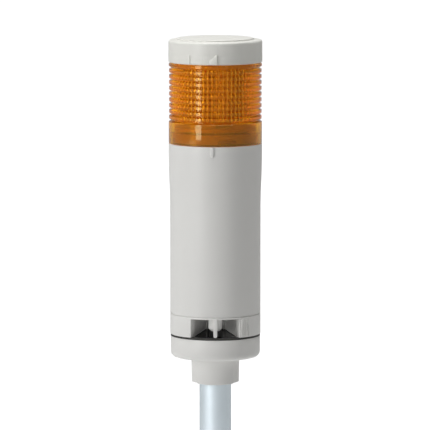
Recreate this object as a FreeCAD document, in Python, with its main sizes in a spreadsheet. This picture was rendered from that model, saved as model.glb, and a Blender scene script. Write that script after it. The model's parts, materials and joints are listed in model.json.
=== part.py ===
import FreeCAD, Part
import os
from math import cos, radians, sin, sqrt

import Sketcher

# A single-tier signal tower: amber lens over a white body with a sounder ring at its foot, carried
# on an aluminium pole. Millimetres, +Z up. The front faces -Y, and the origin is the centre of the
# pole's lower end. Angles around the tower are counted from the front, towards +X.

os.makedirs("parts", exist_ok=True)
doc = FreeCAD.newDocument("StackLight")

SIZES = {
    # clearances
    "slip_fit": 0.05,  # radial, a turned or moulded piece pushed into its seat
    "loose_fit": 0.2,  # radial, a piece dropped into a recess
    "turning_gap": 0.3,  # between pieces that turn against each other
    # pole
    "pole_radius": 9.5,
    "pole_wall": 1.5,
    "pole_exposed": 110.0,
    "tenon_step": 0.2,
    "tenon_length": 22.0,
    # base cap: the moulded foot that holds the pole
    "lip_wall": 0.65,
    "lip_height": 1.3,
    "neck_radius": 14.4,
    "neck_draft": 0.3,
    "neck_height": 15.0,
    "pad_width": 21.4,
    "pad_rise": 1.95,
    "foot_inset": 0.3,
    "foot_height": 12.8,
    "foot_corner": 3.3,
    "foot_wall": 2.2,
    "foot_floor": 2.3,
    "collar_wall": 2.2,
    "stop_thickness": 1.6,
    "stop_overlap": 0.4,
    # pole screws, in the rear pad
    "grub_radius": 2.0,
    "grub_inset": 0.8,
    "grub_low": 4.0,
    "grub_spacing": 7.0,
    "hex_radius": 1.15,
    "hex_depth": 2.0,
    # base seal and sound deflector
    "seal_thickness": 1.3,
    "seal_inset": 0.2,
    "deflector_thickness": 2.5,
    "deflector_margin": 1.0,
    "cone_inset": 4.8,
    "cone_gap": 0.9,
    "cone_height": 4.4,
    "cone_tip_radius": 2.2,
    "wire_hole_radius": 2.4,
    "wire_hole_inset": 4.3,
    # base screws, from the foot's underside up into the body
    "screw_radius": 1.5,
    "screw_inset": 4.8,
    "screw_angle": 60.0,
    "screw_boss_radius": 3.0,
    "screw_head_radius": 2.75,
    "screw_head_height": 2.0,
    "counterbore_depth": 2.5,
    "screw_engagement": 8.0,
    # sound ring
    "body_radius": 27.0,
    "ring_height": 12.2,
    "ring_wall": 2.2,
    "ring_deck": 1.1,
    "seam_chamfer": 0.3,
    "port_radius": 6.0,
    "window_half_angle": 33.0,
    "jamb_depth": 4.6,
    "jamb_width": 2.6,
    "jamb_setback": 1.2,
    "throat_radius": 7.3,
    "throat_wall": 1.4,
    "post_width": 2.3,
    "post_depth": 2.5,
    "post_proud": 0.15,
    "post_clearance": 0.4,
    "stem_radius": 4.1,
    "stem_inset": 7.5,
    "stem_drop": 7.4,
    "stem_chamfer": 1.6,
    "web_width": 1.6,
    "web_drop": 5.5,
    "grip_first_angle": 36.0,
    "grip_pitch_angle": 3.6,
    "grip_width": 0.9,
    "grip_proud": 0.5,
    "grip_margin": 0.6,
    "ring_spigot_height": 4.0,
    "ring_spigot_wall": 1.3,
    # sounder
    "sounder_radius": 12.0,
    "sounder_height": 12.0,
    "sounder_hole_radius": 2.5,
    "sounder_hole_depth": 4.0,
    "clip_width": 6.0,
    "clip_thickness": 1.4,
    "clip_hook": 0.9,
    "clip_nose": 1.2,
    # body tube
    "body_height": 101.9,
    "body_wall": 2.4,
    "body_flare": 0.8,
    "flare_length": 34.0,
    "flare_drop": 6.0,
    "deck_thickness": 2.4,
    "body_boss_height": 12.0,
    "body_boss_web": 1.8,
    "body_spigot_height": 6.7,
    "body_spigot_wall": 1.8,
    "mark_width": 2.1,
    "mark_length": 6.2,
    "mark_proud": 0.4,
    "mark_offset": 1.8,
    "rail_width": 1.5,
    "rail_reach": 4.4,
    "rail_start": 15.4,
    # boards inside the body
    "board_thickness": 1.6,
    "board_grip": 0.8,
    "socket_board_margin": 1.3,
    "link_gap": 0.3,
    "capacitor_radius": 5.0,
    "capacitor_length": 14.0,
    "capacitor_height": 42.0,
    "capacitor_spacing": 13.0,
    "choke_width": 13.0,
    "choke_depth": 9.0,
    "choke_drop": 22.2,
    "chip_width": 8.0,
    "chip_height": 5.2,
    "chip_thickness": 1.6,
    "chip_level": 26.0,
    "terminal_width": 25.6,
    "terminal_depth": 9.0,
    "terminal_height": 10.5,
    "terminal_pitch": 6.2,
    "terminal_level": 3.0,
    "lever_width": 3.6,
    "lever_height": 5.0,
    "lever_rise": 1.2,
    "wire_mouth_width": 2.8,
    "wire_mouth_depth": 6.0,
    # spring contacts and the pins that press on them
    "contact_circle": 12.0,
    "contact_width": 2.4,
    "contact_length": 7.0,
    "contact_rise": 2.2,
    "contact_strip": 0.4,
    "slot_margin": 0.4,
    "pin_width": 1.6,
    # amber lens
    "lens_height": 48.5,
    "lens_wall": 2.2,
    "crest_drop": 0.2,
    "skirt_height": 13.95,
    "ring_pitch": 3.46,
    "groove_depth": 1.35,
    "groove_mouth": 1.5,
    "neck_wall": 3.4,
    "flange_depth": 1.9,
    "flange_taper": 0.6,
    "flute_depth": 0.8,
    "flute_start": 15.0,
    "flute_top_margin": 3.1,
    # bayonets: the lens on the body, the cap on the lens
    "bayonet_half_angle": 12.0,
    "bayonet_reach": 1.2,
    "lug_height": 1.7,
    "lug_inset": 1.0,
    "lug_turn": 16.0,
    # light source
    "module_thickness": 2.0,
    "carrier_width": 14.0,
    "carrier_wall": 1.6,
    "carrier_turn": 45.0,
    "carrier_height": 31.0,
    "strip_width": 11.6,
    "strip_height": 28.0,
    "strip_thickness": 1.2,
    "strip_margin": 1.5,
    "led_size": 3.4,
    "led_thickness": 1.4,
    "led_pitch": 5.4,
    # top cap
    "cap_overhang": 0.2,
    "cap_height": 13.3,
    "cap_wall": 2.4,
    "cap_plate": 2.4,
    "cap_chamfer": 0.3,
    "shoulder_radius": 1.5,
    "disc_inset": 5.0,
    "disc_rise": 0.9,
    "cap_spigot_depth": 5.4,
    "cap_spigot_wall": 1.8,
    "rib_angle": 32.8,
    "rib_width": 0.6,
    "rib_length": 5.6,
    "rib_proud": 0.35,
    "arrow_width": 4.6,
    "arrow_edge": 1.0,
    "arrow_tall": 5.9,
    "arrow_low": 2.5,
    "arrow_proud": 0.5,
    # seal under the lens
    "ring_seal_width": 1.25,
    "ring_seal_height": 1.2,
}

GRIP_RIB_COUNT = 4
LENS_GROOVE_COUNT = 10
LENS_FLUTE_COUNT = 60
BAYONET_LUG_COUNT = 3
CONTACT_COUNT = 4
CARRIER_SIDE_COUNT = 4
LED_COUNT = 5
TERMINAL_COUNT = 4
WINDOW_COUNT = 2

# An arc a hair wider than the half circle over its chord keeps a defined centre.
ROUND_END = 1.0001


class Size:
    """A length or angle that knows its number and the spreadsheet formula that gives it."""

    def __init__(self, number, formula):
        self.number = number
        self.formula = formula

    def __add__(self, other):
        other = as_size(other)
        return Size(self.number + other.number, f"({self.formula} + {other.formula})")

    def __sub__(self, other):
        other = as_size(other)
        return Size(self.number - other.number, f"({self.formula} - {other.formula})")

    def __mul__(self, other):
        other = as_size(other)
        return Size(self.number * other.number, f"({self.formula} * {other.formula})")

    def __truediv__(self, other):
        other = as_size(other)
        return Size(self.number / other.number, f"({self.formula} / {other.formula})")

    def __radd__(self, other):
        return as_size(other) + self

    def __rsub__(self, other):
        return as_size(other) - self

    def __rmul__(self, other):
        return as_size(other) * self

    def __neg__(self):
        return as_size(0) - self


def as_size(value):
    return value if isinstance(value, Size) else Size(value, repr(value))


def sine(angle):
    return Size(sin(radians(angle.number)), f"sin({angle.formula} * 1 deg)")


def cosine(angle):
    return Size(cos(radians(angle.number)), f"cos({angle.formula} * 1 deg)")


class Sizes:
    """The spreadsheet of driving dimensions, read as S.name, with the levels that follow from them."""

    def __init__(self):
        self.sheet = doc.addObject("Spreadsheet::Sheet", "Sizes")
        self.row = 0
        for name, number in SIZES.items():
            self.write(name, str(number), number)

    def write(self, name, content, number):
        self.row += 1
        self.sheet.set(f"A{self.row}", name)
        self.sheet.set(f"B{self.row}", content)
        self.sheet.setAlias(f"B{self.row}", name)
        setattr(self, name, Size(number, f"Sizes.{name}"))

    def derive(self, name, size):
        self.write(name, "=" + size.formula.replace("Sizes.", ""), size.number)


S = Sizes()

# levels, from the pole's lower end up
S.derive("lip_bottom", S.pole_exposed + 0)
S.derive("neck_bottom", S.lip_bottom + S.lip_height)
S.derive("foot_bottom", S.neck_bottom + S.neck_height)
S.derive("foot_top", S.foot_bottom + S.foot_height)
S.derive("ring_bottom", S.foot_top + S.seal_thickness)
S.derive("deflector_bottom", S.ring_bottom - S.deflector_thickness)
S.derive("ring_top", S.ring_bottom + S.ring_height)
S.derive("ring_deck_bottom", S.ring_top - S.ring_deck)
S.derive("body_top", S.ring_top + S.body_height)
S.derive("deck_bottom", S.body_top - S.deck_thickness)
S.derive("body_spigot_top", S.body_top + S.body_spigot_height)
S.derive("lens_bottom", S.body_top + S.turning_gap)
S.derive("cap_bottom", S.body_top + S.lens_height)
S.derive("lens_top", S.cap_bottom - S.turning_gap)
S.derive("cap_top", S.cap_bottom + S.cap_height)
S.derive("tenon_top", S.pole_exposed + S.tenon_length)

# radii that follow from the driving ones
S.derive("pole_bore", S.pole_radius - S.pole_wall)
S.derive("tenon_radius", S.pole_radius - S.tenon_step)
S.derive("socket_radius", S.tenon_radius + S.slip_fit)
S.derive("foot_radius", S.body_radius - S.foot_inset)
S.derive("seal_radius", S.body_radius - S.seal_inset)
S.derive("foot_bore", S.foot_radius - S.foot_wall)
S.derive("deflector_radius", S.foot_bore - S.deflector_margin)
S.derive("body_bore", S.body_radius - S.body_wall)
S.derive("screw_circle", S.body_bore - S.screw_inset)
S.derive("wire_hole_circle", S.body_bore - S.wire_hole_inset)
S.derive("cone_radius", S.body_bore - S.cone_inset)
S.derive("stem_circle", S.body_radius - S.stem_inset)
S.derive("rail_inner", S.body_bore - S.rail_reach)
S.derive("board_width", 2 * (S.rail_inner + S.board_grip))
S.derive("board_bottom", S.ring_top + S.rail_start)
S.derive("board_top", S.deck_bottom - S.board_thickness - S.link_gap)
S.derive("lens_radius", S.body_radius + S.body_flare)
S.derive("cap_radius", S.lens_radius + S.cap_overhang)
S.derive("disc_radius", S.cap_radius - S.disc_inset)
S.derive("skirt_bore", S.lens_radius - S.lens_wall)
S.derive("body_spigot_radius", S.skirt_bore - S.bayonet_reach - S.turning_gap)
S.derive("lens_bore", S.lens_radius - S.neck_wall)
S.derive("cap_spigot_radius", S.lens_bore - S.bayonet_reach - 2 * S.turning_gap)
S.derive("cap_spigot_bottom", S.lens_top - S.cap_spigot_depth)
S.derive("screw_hole", S.screw_radius + S.loose_fit)
S.derive("module_bottom", S.body_spigot_top + S.turning_gap + S.lug_inset)
S.derive("module_top", S.module_bottom + S.module_thickness)
S.derive("contact_top", S.body_top + S.contact_rise)


# ---------------------------------------------------------------- modelling helpers


def new_body(label):
    body = doc.addObject("PartDesign::Body", label)
    body.Label = label
    return body


def origin_feature(body, role):
    for feature in body.Origin.OriginFeatures:
        if feature.Role == role:
            return feature
    raise ValueError(role)


def new_sketch(body, plane, name, offset=0, angle=0):
    """A sketch on one of the body's own planes, moved along its normal and turned round it."""
    sketch = body.newObject("Sketcher::SketchObject", name)
    sketch.AttachmentSupport = [(origin_feature(body, plane), "")]
    sketch.MapMode = "FlatFace"
    offset = as_size(offset)
    angle = as_size(angle)
    turn = FreeCAD.Rotation(FreeCAD.Vector(0, 0, 1), angle.number)
    sketch.AttachmentOffset = FreeCAD.Placement(FreeCAD.Vector(0, 0, offset.number), turn)
    sketch.setExpression(".AttachmentOffset.Base.z", offset.formula)
    if angle.number:
        sketch.setExpression(".AttachmentOffset.Rotation.Angle", f"{angle.formula} * 1 deg")
    return sketch


def pin_coordinate(sketch, kind, axis, geometry, end, size):
    """Holds one coordinate of a sketch point at a spreadsheet size."""
    if abs(size.number) < 1e-9:
        sketch.addConstraint(Sketcher.Constraint("PointOnObject", geometry, end, axis))
        return
    if size.number > 0:
        constraint = Sketcher.Constraint(kind, -1, 1, geometry, end, size.number)
    else:
        size = -size
        constraint = Sketcher.Constraint(kind, geometry, end, -1, 1, size.number)
    index = sketch.addConstraint(constraint)
    sketch.setExpression(f"Constraints[{index}]", size.formula)


def pin_point(sketch, geometry, end, point):
    pin_coordinate(sketch, "DistanceX", -2, geometry, end, point[0])
    pin_coordinate(sketch, "DistanceY", -1, geometry, end, point[1])


def arc_middle(start, end, radius):
    """The middle point of the shorter arc; a positive radius bulges to the right of start to end."""
    along = end - start
    half = along.Length / 2
    right = FreeCAD.Vector(along.y, -along.x, 0).normalize()
    sagitta = abs(radius) - sqrt(max(radius * radius - half * half, 0))
    return (start + end) / 2 + right * (sagitta if radius > 0 else -sagitta)


def draw_outline(sketch, corners):
    """A closed outline. A corner is (across, up), or (across, up, radius) if an arc leaves it."""
    corners = [tuple(as_size(value) for value in corner) for corner in corners]
    spots = [FreeCAD.Vector(corner[0].number, corner[1].number, 0) for corner in corners]
    ends = [[] for _ in corners]
    for index, corner in enumerate(corners):
        after = (index + 1) % len(corners)
        if len(corner) == 3:
            middle = arc_middle(spots[index], spots[after], corner[2].number)
            edge = sketch.addGeometry(Part.Arc(spots[index], middle, spots[after]), False)
        else:
            edge = sketch.addGeometry(Part.LineSegment(spots[index], spots[after]), False)
        first_is_start = sketch.getPoint(edge, 1).distanceToPoint(spots[index]) < 1e-6
        ends[index].append((edge, 1 if first_is_start else 2))
        ends[after].append((edge, 2 if first_is_start else 1))
        if len(corner) == 3:
            radius = corner[2] if corner[2].number > 0 else -corner[2]
            index_of = sketch.addConstraint(Sketcher.Constraint("Radius", edge, radius.number))
            sketch.setExpression(f"Constraints[{index_of}]", radius.formula)
    for corner, (one, other) in zip(corners, ends):
        sketch.addConstraint(Sketcher.Constraint("Coincident", *one, *other))
        pin_point(sketch, *one, corner)


def draw_circle(sketch, across, up, radius):
    across, up, radius = as_size(across), as_size(up), as_size(radius)
    centre = FreeCAD.Vector(across.number, up.number, 0)
    circle = Part.Circle(centre, FreeCAD.Vector(0, 0, 1), radius.number)
    geometry = sketch.addGeometry(circle, False)
    index = sketch.addConstraint(Sketcher.Constraint("Radius", geometry, radius.number))
    sketch.setExpression(f"Constraints[{index}]", radius.formula)
    pin_point(sketch, geometry, 3, (across, up))


def draw_rectangle(sketch, left, bottom, right, top):
    draw_outline(sketch, [(left, bottom), (right, bottom), (right, top), (left, top)])


def draw_sector(sketch, inner, outer, half_angle):
    """A block between two radii, centred on the sketch's first axis."""
    near_across, near_up = inner * cosine(half_angle), inner * sine(half_angle)
    far_across, far_up = outer * cosine(half_angle), outer * sine(half_angle)
    draw_outline(
        sketch,
        [
            (near_across, -near_up),
            (far_across, -far_up, outer),
            (far_across, far_up),
            (near_across, near_up, -inner),
        ],
    )


def add_turned(body, name, corners, kind="Revolution"):
    """Turns an outline of (radius, height) corners round the tower's axis."""
    sketch = new_sketch(body, "XZ_Plane", f"{name}_outline")
    draw_outline(sketch, corners)
    feature = body.newObject(f"PartDesign::{kind}", name)
    feature.Profile = sketch
    feature.ReferenceAxis = (sketch, ["V_Axis"])
    feature.Angle = 360
    return feature


def add_straight(body, name, sketch, length, kind="Pad", backwards=False):
    """Pads or pockets a sketch. Pads go along its normal, pockets against it, unless backwards."""
    feature = body.newObject(f"PartDesign::{kind}", name)
    feature.Profile = sketch
    length = as_size(length)
    feature.Length = length.number
    feature.setExpression("Length", length.formula)
    feature.Reversed = backwards
    return feature


def add_upright(body, name, bottom, top, draw, kind="Pad", angle=0):
    """Pads or pockets what draw() puts on a level sketch, from one level up to another."""
    sketch = new_sketch(body, "XY_Plane", f"{name}_outline", bottom, angle)
    draw(sketch)
    return add_straight(body, name, sketch, top - bottom, kind, backwards=kind == "Pocket")


def repeat_around(body, feature, count, angle=None):
    pattern = body.newObject("PartDesign::PolarPattern", f"{feature.Name}_around")
    pattern.Originals = [feature]
    pattern.Axis = (origin_feature(body, "Z_Axis"), [""])
    pattern.Angle = 360
    if angle is not None:
        pattern.Angle = angle.number
        pattern.setExpression("Angle", angle.formula)
    pattern.Occurrences = count
    body.Tip = pattern
    return pattern


def rounded_edge(radius, level, size, steps):
    """Outline corners that round a ring's edge with flats, from the end face round to the side.

    The size is negative where the rounding lies under the level, as on an upper edge.
    """
    corners = []
    inset = size if size.number > 0 else -size
    for step in range(steps + 1):
        turn = Size(90 * step / steps, repr(90 * step / steps))
        across = radius - inset + inset * sine(turn)
        corners.append((across, level + size - size * cosine(turn)))
    return corners


def drive(thing, **sizes):
    """Binds properties of a Part primitive to spreadsheet sizes; x, y and z place it."""
    for name, size in sizes.items():
        size = as_size(size)
        prop = f".Placement.Base.{name}" if name in ("x", "y", "z") else name
        thing.setExpression(prop, size.formula)
    return thing


def new_box(name, x, y, z, length, width, height):
    box = doc.addObject("Part::Box", name)
    return drive(box, x=x, y=y, z=z, Length=length, Width=width, Height=height)


def new_rod(name, x, y, z, radius, height, axis=(0, 0, 1)):
    rod = doc.addObject("Part::Cylinder", name)
    rod.Placement.Rotation = FreeCAD.Rotation(FreeCAD.Vector(0, 0, 1), FreeCAD.Vector(*axis))
    return drive(rod, x=x, y=y, z=z, Radius=radius, Height=height)


def join(name, shapes):
    joined = doc.addObject("Part::MultiFuse", name)
    joined.Shapes = shapes
    return joined


def cut(name, base, tool):
    result = doc.addObject("Part::Cut", name)
    result.Base = base
    result.Tool = tool
    return result


def group(label, members):
    """Separate solids of one kind that share a node."""
    compound = doc.addObject("Part::Compound", label)
    compound.Links = members
    compound.Label = label
    return compound


def labelled(thing, label):
    thing.Label = label
    return thing


def turned_solid(label, corners):
    """A body made by one turned outline."""
    body = new_body(label)
    add_turned(body, f"{label}_turned", corners)
    return body


def at_each_screw(body, name, bottom, top, draw, kind="Pad"):
    """The same upright feature at the four base screws: two mirrored ones, each repeated at the back."""
    for side, turn in (("right", S.screw_angle), ("left", -S.screw_angle)):
        feature = add_upright(body, f"{name}_{side}", bottom, top, draw, kind, turn - 90)
        repeat_around(body, feature, WINDOW_COUNT)


def boss_circle(radius):
    return lambda sketch: draw_circle(sketch, S.screw_circle, 0, radius)


# ---------------------------------------------------------------- pole and foot


def make_pole():
    return turned_solid(
        "pole",
        [
            (S.pole_bore, 0),
            (S.pole_radius, 0),
            (S.pole_radius, S.pole_exposed),
            (S.tenon_radius, S.pole_exposed),
            (S.tenon_radius, S.tenon_top),
            (S.pole_bore, S.tenon_top),
        ],
    )


def make_base_cap():
    body = new_body("base_cap")
    floor_top = S.foot_bottom + S.foot_floor
    collar_radius = S.socket_radius + S.collar_wall
    socket_top = S.tenon_top + S.turning_gap
    collar_top = socket_top + S.stop_thickness
    lip_radius = S.socket_radius + S.lip_wall
    wire_way = S.pole_bore - S.stop_overlap
    add_turned(
        body,
        "foot",
        [
            (0, S.lip_bottom),
            (lip_radius, S.lip_bottom),
            (lip_radius, S.neck_bottom),
            (S.neck_radius - S.neck_draft, S.neck_bottom),
            (S.neck_radius, S.foot_bottom),
            *rounded_edge(S.foot_radius, S.foot_bottom, S.foot_corner, 3),
            (S.foot_radius, S.foot_top),
            (S.foot_bore, S.foot_top),
            (S.foot_bore, floor_top),
            (collar_radius, floor_top),
            (collar_radius, collar_top),
            (0, collar_top),
        ],
    )
    half_width = S.pad_width / 2
    pad_radius = S.neck_radius + S.pad_rise
    reach = Size(
        sqrt(pad_radius.number**2 - half_width.number**2),
        f"sqrt({pad_radius.formula} ^ 2 - {half_width.formula} ^ 2)",
    )

    def draw_pads(sketch):
        corners = [
            (half_width, -reach),
            (half_width, reach, pad_radius),
            (-half_width, reach),
            (-half_width, -reach, pad_radius),
        ]
        draw_outline(sketch, corners)

    add_upright(body, "pads", S.neck_bottom, S.foot_bottom, draw_pads)
    bore = [
        (0, S.lip_bottom),
        (S.socket_radius, S.lip_bottom),
        (S.socket_radius, socket_top),
        (wire_way, socket_top),
        (wire_way, collar_top),
        (0, collar_top),
    ]
    add_turned(body, "socket", bore, "Groove")
    at_each_screw(body, "boss", floor_top, S.deflector_bottom, boss_circle(S.screw_boss_radius))
    head_recess = S.screw_head_radius + S.loose_fit
    recess_top = S.foot_bottom + S.counterbore_depth
    at_each_screw(body, "hole", S.foot_bottom, S.deflector_bottom, boss_circle(S.screw_hole), "Pocket")
    at_each_screw(body, "recess", S.foot_bottom, recess_top, boss_circle(head_recess), "Pocket")
    grub_holes = new_sketch(body, "XZ_Plane", "grub_holes_outline")
    for level in grub_levels():
        draw_circle(grub_holes, 0, level, S.grub_radius + S.slip_fit)
    add_straight(body, "grub_holes", grub_holes, pad_radius, "Pocket")
    return body


def grub_levels():
    low = S.neck_bottom + S.grub_low
    return low, low + S.grub_spacing


def make_pole_screws():
    """Two socket set screws in the rear pad, their tips on the pole."""
    screws = []
    tip = S.tenon_radius + S.slip_fit
    head = S.neck_radius + S.pad_rise - S.grub_inset
    for index, level in enumerate(grub_levels()):
        rod = new_rod(f"grub_rod_{index}", 0, tip, level, S.grub_radius, head - tip, (0, 1, 0))
        socket = doc.addObject("Part::Prism", f"grub_socket_{index}")
        socket.Polygon = 6
        socket.Placement.Rotation = FreeCAD.Rotation(FreeCAD.Vector(0, 0, 1), FreeCAD.Vector(0, 1, 0))
        drive(socket, y=head - S.hex_depth, z=level, Circumradius=S.hex_radius, Height=S.hex_depth)
        screws.append(cut(f"grub_screw_{index}", rod, socket))
    return group("pole_screws", screws)


def make_base_screws():
    """Four screws that clamp foot, seal, deflector and sound ring to the body."""
    seat = S.foot_bottom + S.counterbore_depth
    tip = S.ring_top + S.screw_engagement
    head_bottom = seat - S.screw_head_height
    across = S.screw_circle * sine(S.screw_angle)
    deep = S.screw_circle * cosine(S.screw_angle)
    screws = []
    for x, y in ((across, -deep), (across, deep), (-across, deep), (-across, -deep)):
        mark = len(screws)
        head = new_rod(f"head_{mark}", x, y, head_bottom, S.screw_head_radius, S.screw_head_height)
        shank = new_rod(f"shank_{mark}", x, y, seat, S.screw_radius, tip - seat)
        screws.append(join(f"base_screw_{mark}", [head, shank]))
    return group("base_screws", screws)


# ---------------------------------------------------------------- seal, deflector, sound ring


def make_base_seal():
    inner = S.deflector_radius + S.loose_fit
    corners = [
        (inner, S.foot_top),
        (S.seal_radius, S.foot_top),
        (S.seal_radius, S.ring_bottom),
        (inner, S.ring_bottom),
    ]
    return turned_solid("base_seal", corners)


def make_sound_deflector():
    """The black cone under the sounder, which turns the sound out through the windows."""
    body = new_body("sound_deflector")
    cone_top = S.ring_bottom + S.cone_height
    add_turned(
        body,
        "cone",
        [
            (0, S.deflector_bottom),
            (S.deflector_radius, S.deflector_bottom),
            (S.deflector_radius, S.ring_bottom),
            (S.cone_radius, S.ring_bottom),
            (S.cone_tip_radius, cone_top),
            (0, cone_top),
        ],
    )
    at_each_screw(body, "hole", S.deflector_bottom, cone_top, boss_circle(S.screw_hole), "Pocket")
    add_upright(body, "wire_holes", S.deflector_bottom, cone_top, draw_wire_holes, "Pocket")
    return body


def draw_wire_holes(sketch):
    draw_circle(sketch, S.wire_hole_circle, 0, S.wire_hole_radius)
    draw_circle(sketch, -S.wire_hole_circle, 0, S.wire_hole_radius)


def make_sound_ring():
    body = new_body("sound_ring")
    wall_inner = S.body_radius - S.ring_wall
    spigot_outer = S.body_bore - S.slip_fit
    spigot_inner = spigot_outer - S.ring_spigot_wall
    spigot_top = S.ring_top + S.ring_spigot_height
    throat_outer = S.throat_radius + S.throat_wall
    add_turned(
        body,
        "ring",
        [
            (wall_inner, S.ring_bottom),
            (S.body_radius, S.ring_bottom),
            (S.body_radius, S.ring_top - S.seam_chamfer),
            (S.body_radius - S.seam_chamfer, S.ring_top),
            (spigot_outer, S.ring_top),
            (spigot_outer, spigot_top),
            (spigot_inner, spigot_top),
            (spigot_inner, S.ring_top),
            (S.port_radius, S.ring_top),
            (S.port_radius, S.ring_deck_bottom),
            (S.throat_radius, S.ring_deck_bottom),
            (S.throat_radius, S.ring_bottom),
            (throat_outer, S.ring_bottom),
            (throat_outer, S.ring_deck_bottom),
            (wall_inner, S.ring_deck_bottom),
        ],
    )
    far = S.body_radius * 1.3
    across, deep = far * sine(S.window_half_angle), far * cosine(S.window_half_angle)

    def draw_window(sketch):
        draw_outline(sketch, [(0, 0), (-across, -deep), (across, -deep)])

    window = add_upright(body, "window", S.ring_bottom, S.ring_deck_bottom, draw_window, "Pocket")
    repeat_around(body, window, WINDOW_COUNT)
    add_jambs(body, wall_inner)
    at_each_screw(body, "pillar", S.ring_bottom, S.ring_deck_bottom, boss_circle(S.screw_boss_radius))
    add_cone_clearance(body)
    at_each_screw(body, "hole", S.ring_bottom, S.ring_top, boss_circle(S.screw_hole), "Pocket")
    add_upright(body, "wire_holes", S.ring_deck_bottom, S.ring_top, draw_wire_holes, "Pocket")
    add_posts(body, wall_inner)
    add_grip(body)
    add_sounder_clips(body)
    return body


def add_sounder_clips(body):
    """Two hooks that stand up from the deck and snap over the sounder."""
    face = S.sounder_radius + S.slip_fit
    outside = face + S.clip_thickness
    seat = S.ring_top + S.sounder_height
    sketch = new_sketch(body, "XZ_Plane", "clip_outline", -S.clip_width / 2)
    draw_outline(
        sketch,
        [
            (face, S.ring_top),
            (outside, S.ring_top),
            (outside, seat + S.clip_nose),
            (face, seat + S.clip_nose),
            (face - S.clip_hook, seat),
            (face, seat),
        ],
    )
    clip = add_straight(body, "clip", sketch, S.clip_width)
    repeat_around(body, clip, WINDOW_COUNT)


def add_jambs(body, wall_inner):
    """The radial walls beside each window: a thick jamb at the outside, a thinner wall further in."""
    jamb_inner = S.body_radius - S.jamb_depth
    for side, sign, turn in (("right", 1, S.window_half_angle), ("left", -1, -S.window_half_angle)):

        def draw_jamb(sketch, sign=sign):
            corners = [
                (jamb_inner, 0),
                (wall_inner + S.slip_fit, 0),
                (wall_inner + S.slip_fit, sign * S.jamb_width),
                (S.throat_radius, sign * S.jamb_width),
                (S.throat_radius, sign * S.jamb_setback),
                (jamb_inner, sign * S.jamb_setback),
            ]
            draw_outline(sketch, corners if sign > 0 else corners[::-1])

        jamb = add_upright(
            body, f"jamb_{side}", S.ring_bottom, S.ring_deck_bottom, draw_jamb, "Pad", turn - 90
        )
        repeat_around(body, jamb, WINDOW_COUNT)


def add_cone_clearance(body):
    """Trims the walls and pillars so that they stand clear of the deflector's cone."""
    cone_top = S.ring_bottom + S.cone_height
    corners = [
        (0, S.ring_bottom),
        (S.cone_radius + S.cone_gap, S.ring_bottom),
        (S.cone_tip_radius + S.cone_gap, cone_top),
        (0, cone_top),
    ]
    add_turned(body, "cone_clearance", corners, "Groove")


def add_posts(body, wall_inner):
    """The middle post of each window, with the stem behind it and the web that joins them."""
    half = S.post_width / 2
    post_bottom = S.ring_bottom + S.post_clearance
    face = S.body_radius + S.post_proud
    sketch = new_sketch(body, "XZ_Plane", "post_outline", face - S.post_depth)
    draw_outline(
        sketch,
        [
            (-half, post_bottom + half, half * ROUND_END),
            (half, post_bottom + half),
            (half, S.ring_top - S.seam_chamfer),
            (-half, S.ring_top - S.seam_chamfer),
        ],
    )
    post = add_straight(body, "post", sketch, S.post_depth)
    repeat_around(body, post, WINDOW_COUNT)
    stem_bottom = S.ring_deck_bottom - S.stem_drop
    stem = add_upright(
        body,
        "stem",
        stem_bottom,
        S.ring_deck_bottom,
        lambda sketch: draw_circle(sketch, 0, -S.stem_circle, S.stem_radius),
    )
    repeat_around(body, stem, WINDOW_COUNT)
    blunt_stems(body, stem_bottom)
    web = add_upright(
        body,
        "web",
        S.ring_deck_bottom - S.web_drop,
        S.ring_deck_bottom,
        lambda sketch: draw_rectangle(
            sketch, -S.web_width / 2, -(face - S.post_depth / 2), S.web_width / 2, -S.stem_circle
        ),
    )
    repeat_around(body, web, WINDOW_COUNT)


def blunt_stems(body, level):
    """Chamfers the lower edge of both stems."""
    doc.recompute()
    stems = body.Tip
    names = []
    for index, edge in enumerate(stems.Shape.Edges):
        if not isinstance(edge.Curve, Part.Circle):
            continue
        on_stem = abs(edge.Curve.Radius - S.stem_radius.number) < 1e-4
        if on_stem and abs(edge.Curve.Center.z - level.number) < 1e-4:
            names.append(f"Edge{index + 1}")
    nose = body.newObject("PartDesign::Chamfer", "stem_nose")
    nose.Base = (stems, names)
    nose.Size = S.stem_chamfer.number
    nose.setExpression("Size", S.stem_chamfer.formula)


def add_grip(body):
    """Fine upright ribs beside each window."""
    half = S.grip_width / 2
    top = S.body_radius + S.grip_proud
    for index in range(GRIP_RIB_COUNT):
        turn = S.grip_first_angle + index * S.grip_pitch_angle - 90
        rib = add_upright(
            body,
            f"grip_{index}",
            S.ring_bottom + S.grip_margin,
            S.ring_deck_bottom,
            lambda sketch: draw_outline(
                sketch,
                [
                    (S.body_radius - S.ring_wall / 2, -half),
                    (top, -half),
                    (S.body_radius - S.ring_wall / 2, half),
                ],
            ),
            "Pad",
            turn,
        )
        repeat_around(body, rib, WINDOW_COUNT)


def make_sounder():
    """The sounder: a can on the ring's deck with its nozzle in the port."""
    can = new_rod("can", 0, 0, S.ring_top, S.sounder_radius, S.sounder_height)
    nozzle_radius = S.port_radius - S.loose_fit
    nozzle = new_rod("nozzle", 0, 0, S.ring_deck_bottom, nozzle_radius, S.ring_deck)
    voice = new_rod("voice", 0, 0, S.ring_deck_bottom, S.sounder_hole_radius, S.sounder_hole_depth)
    return labelled(cut("sounder", join("sounder_blank", [can, nozzle]), voice), "sounder")


# ---------------------------------------------------------------- body


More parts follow.
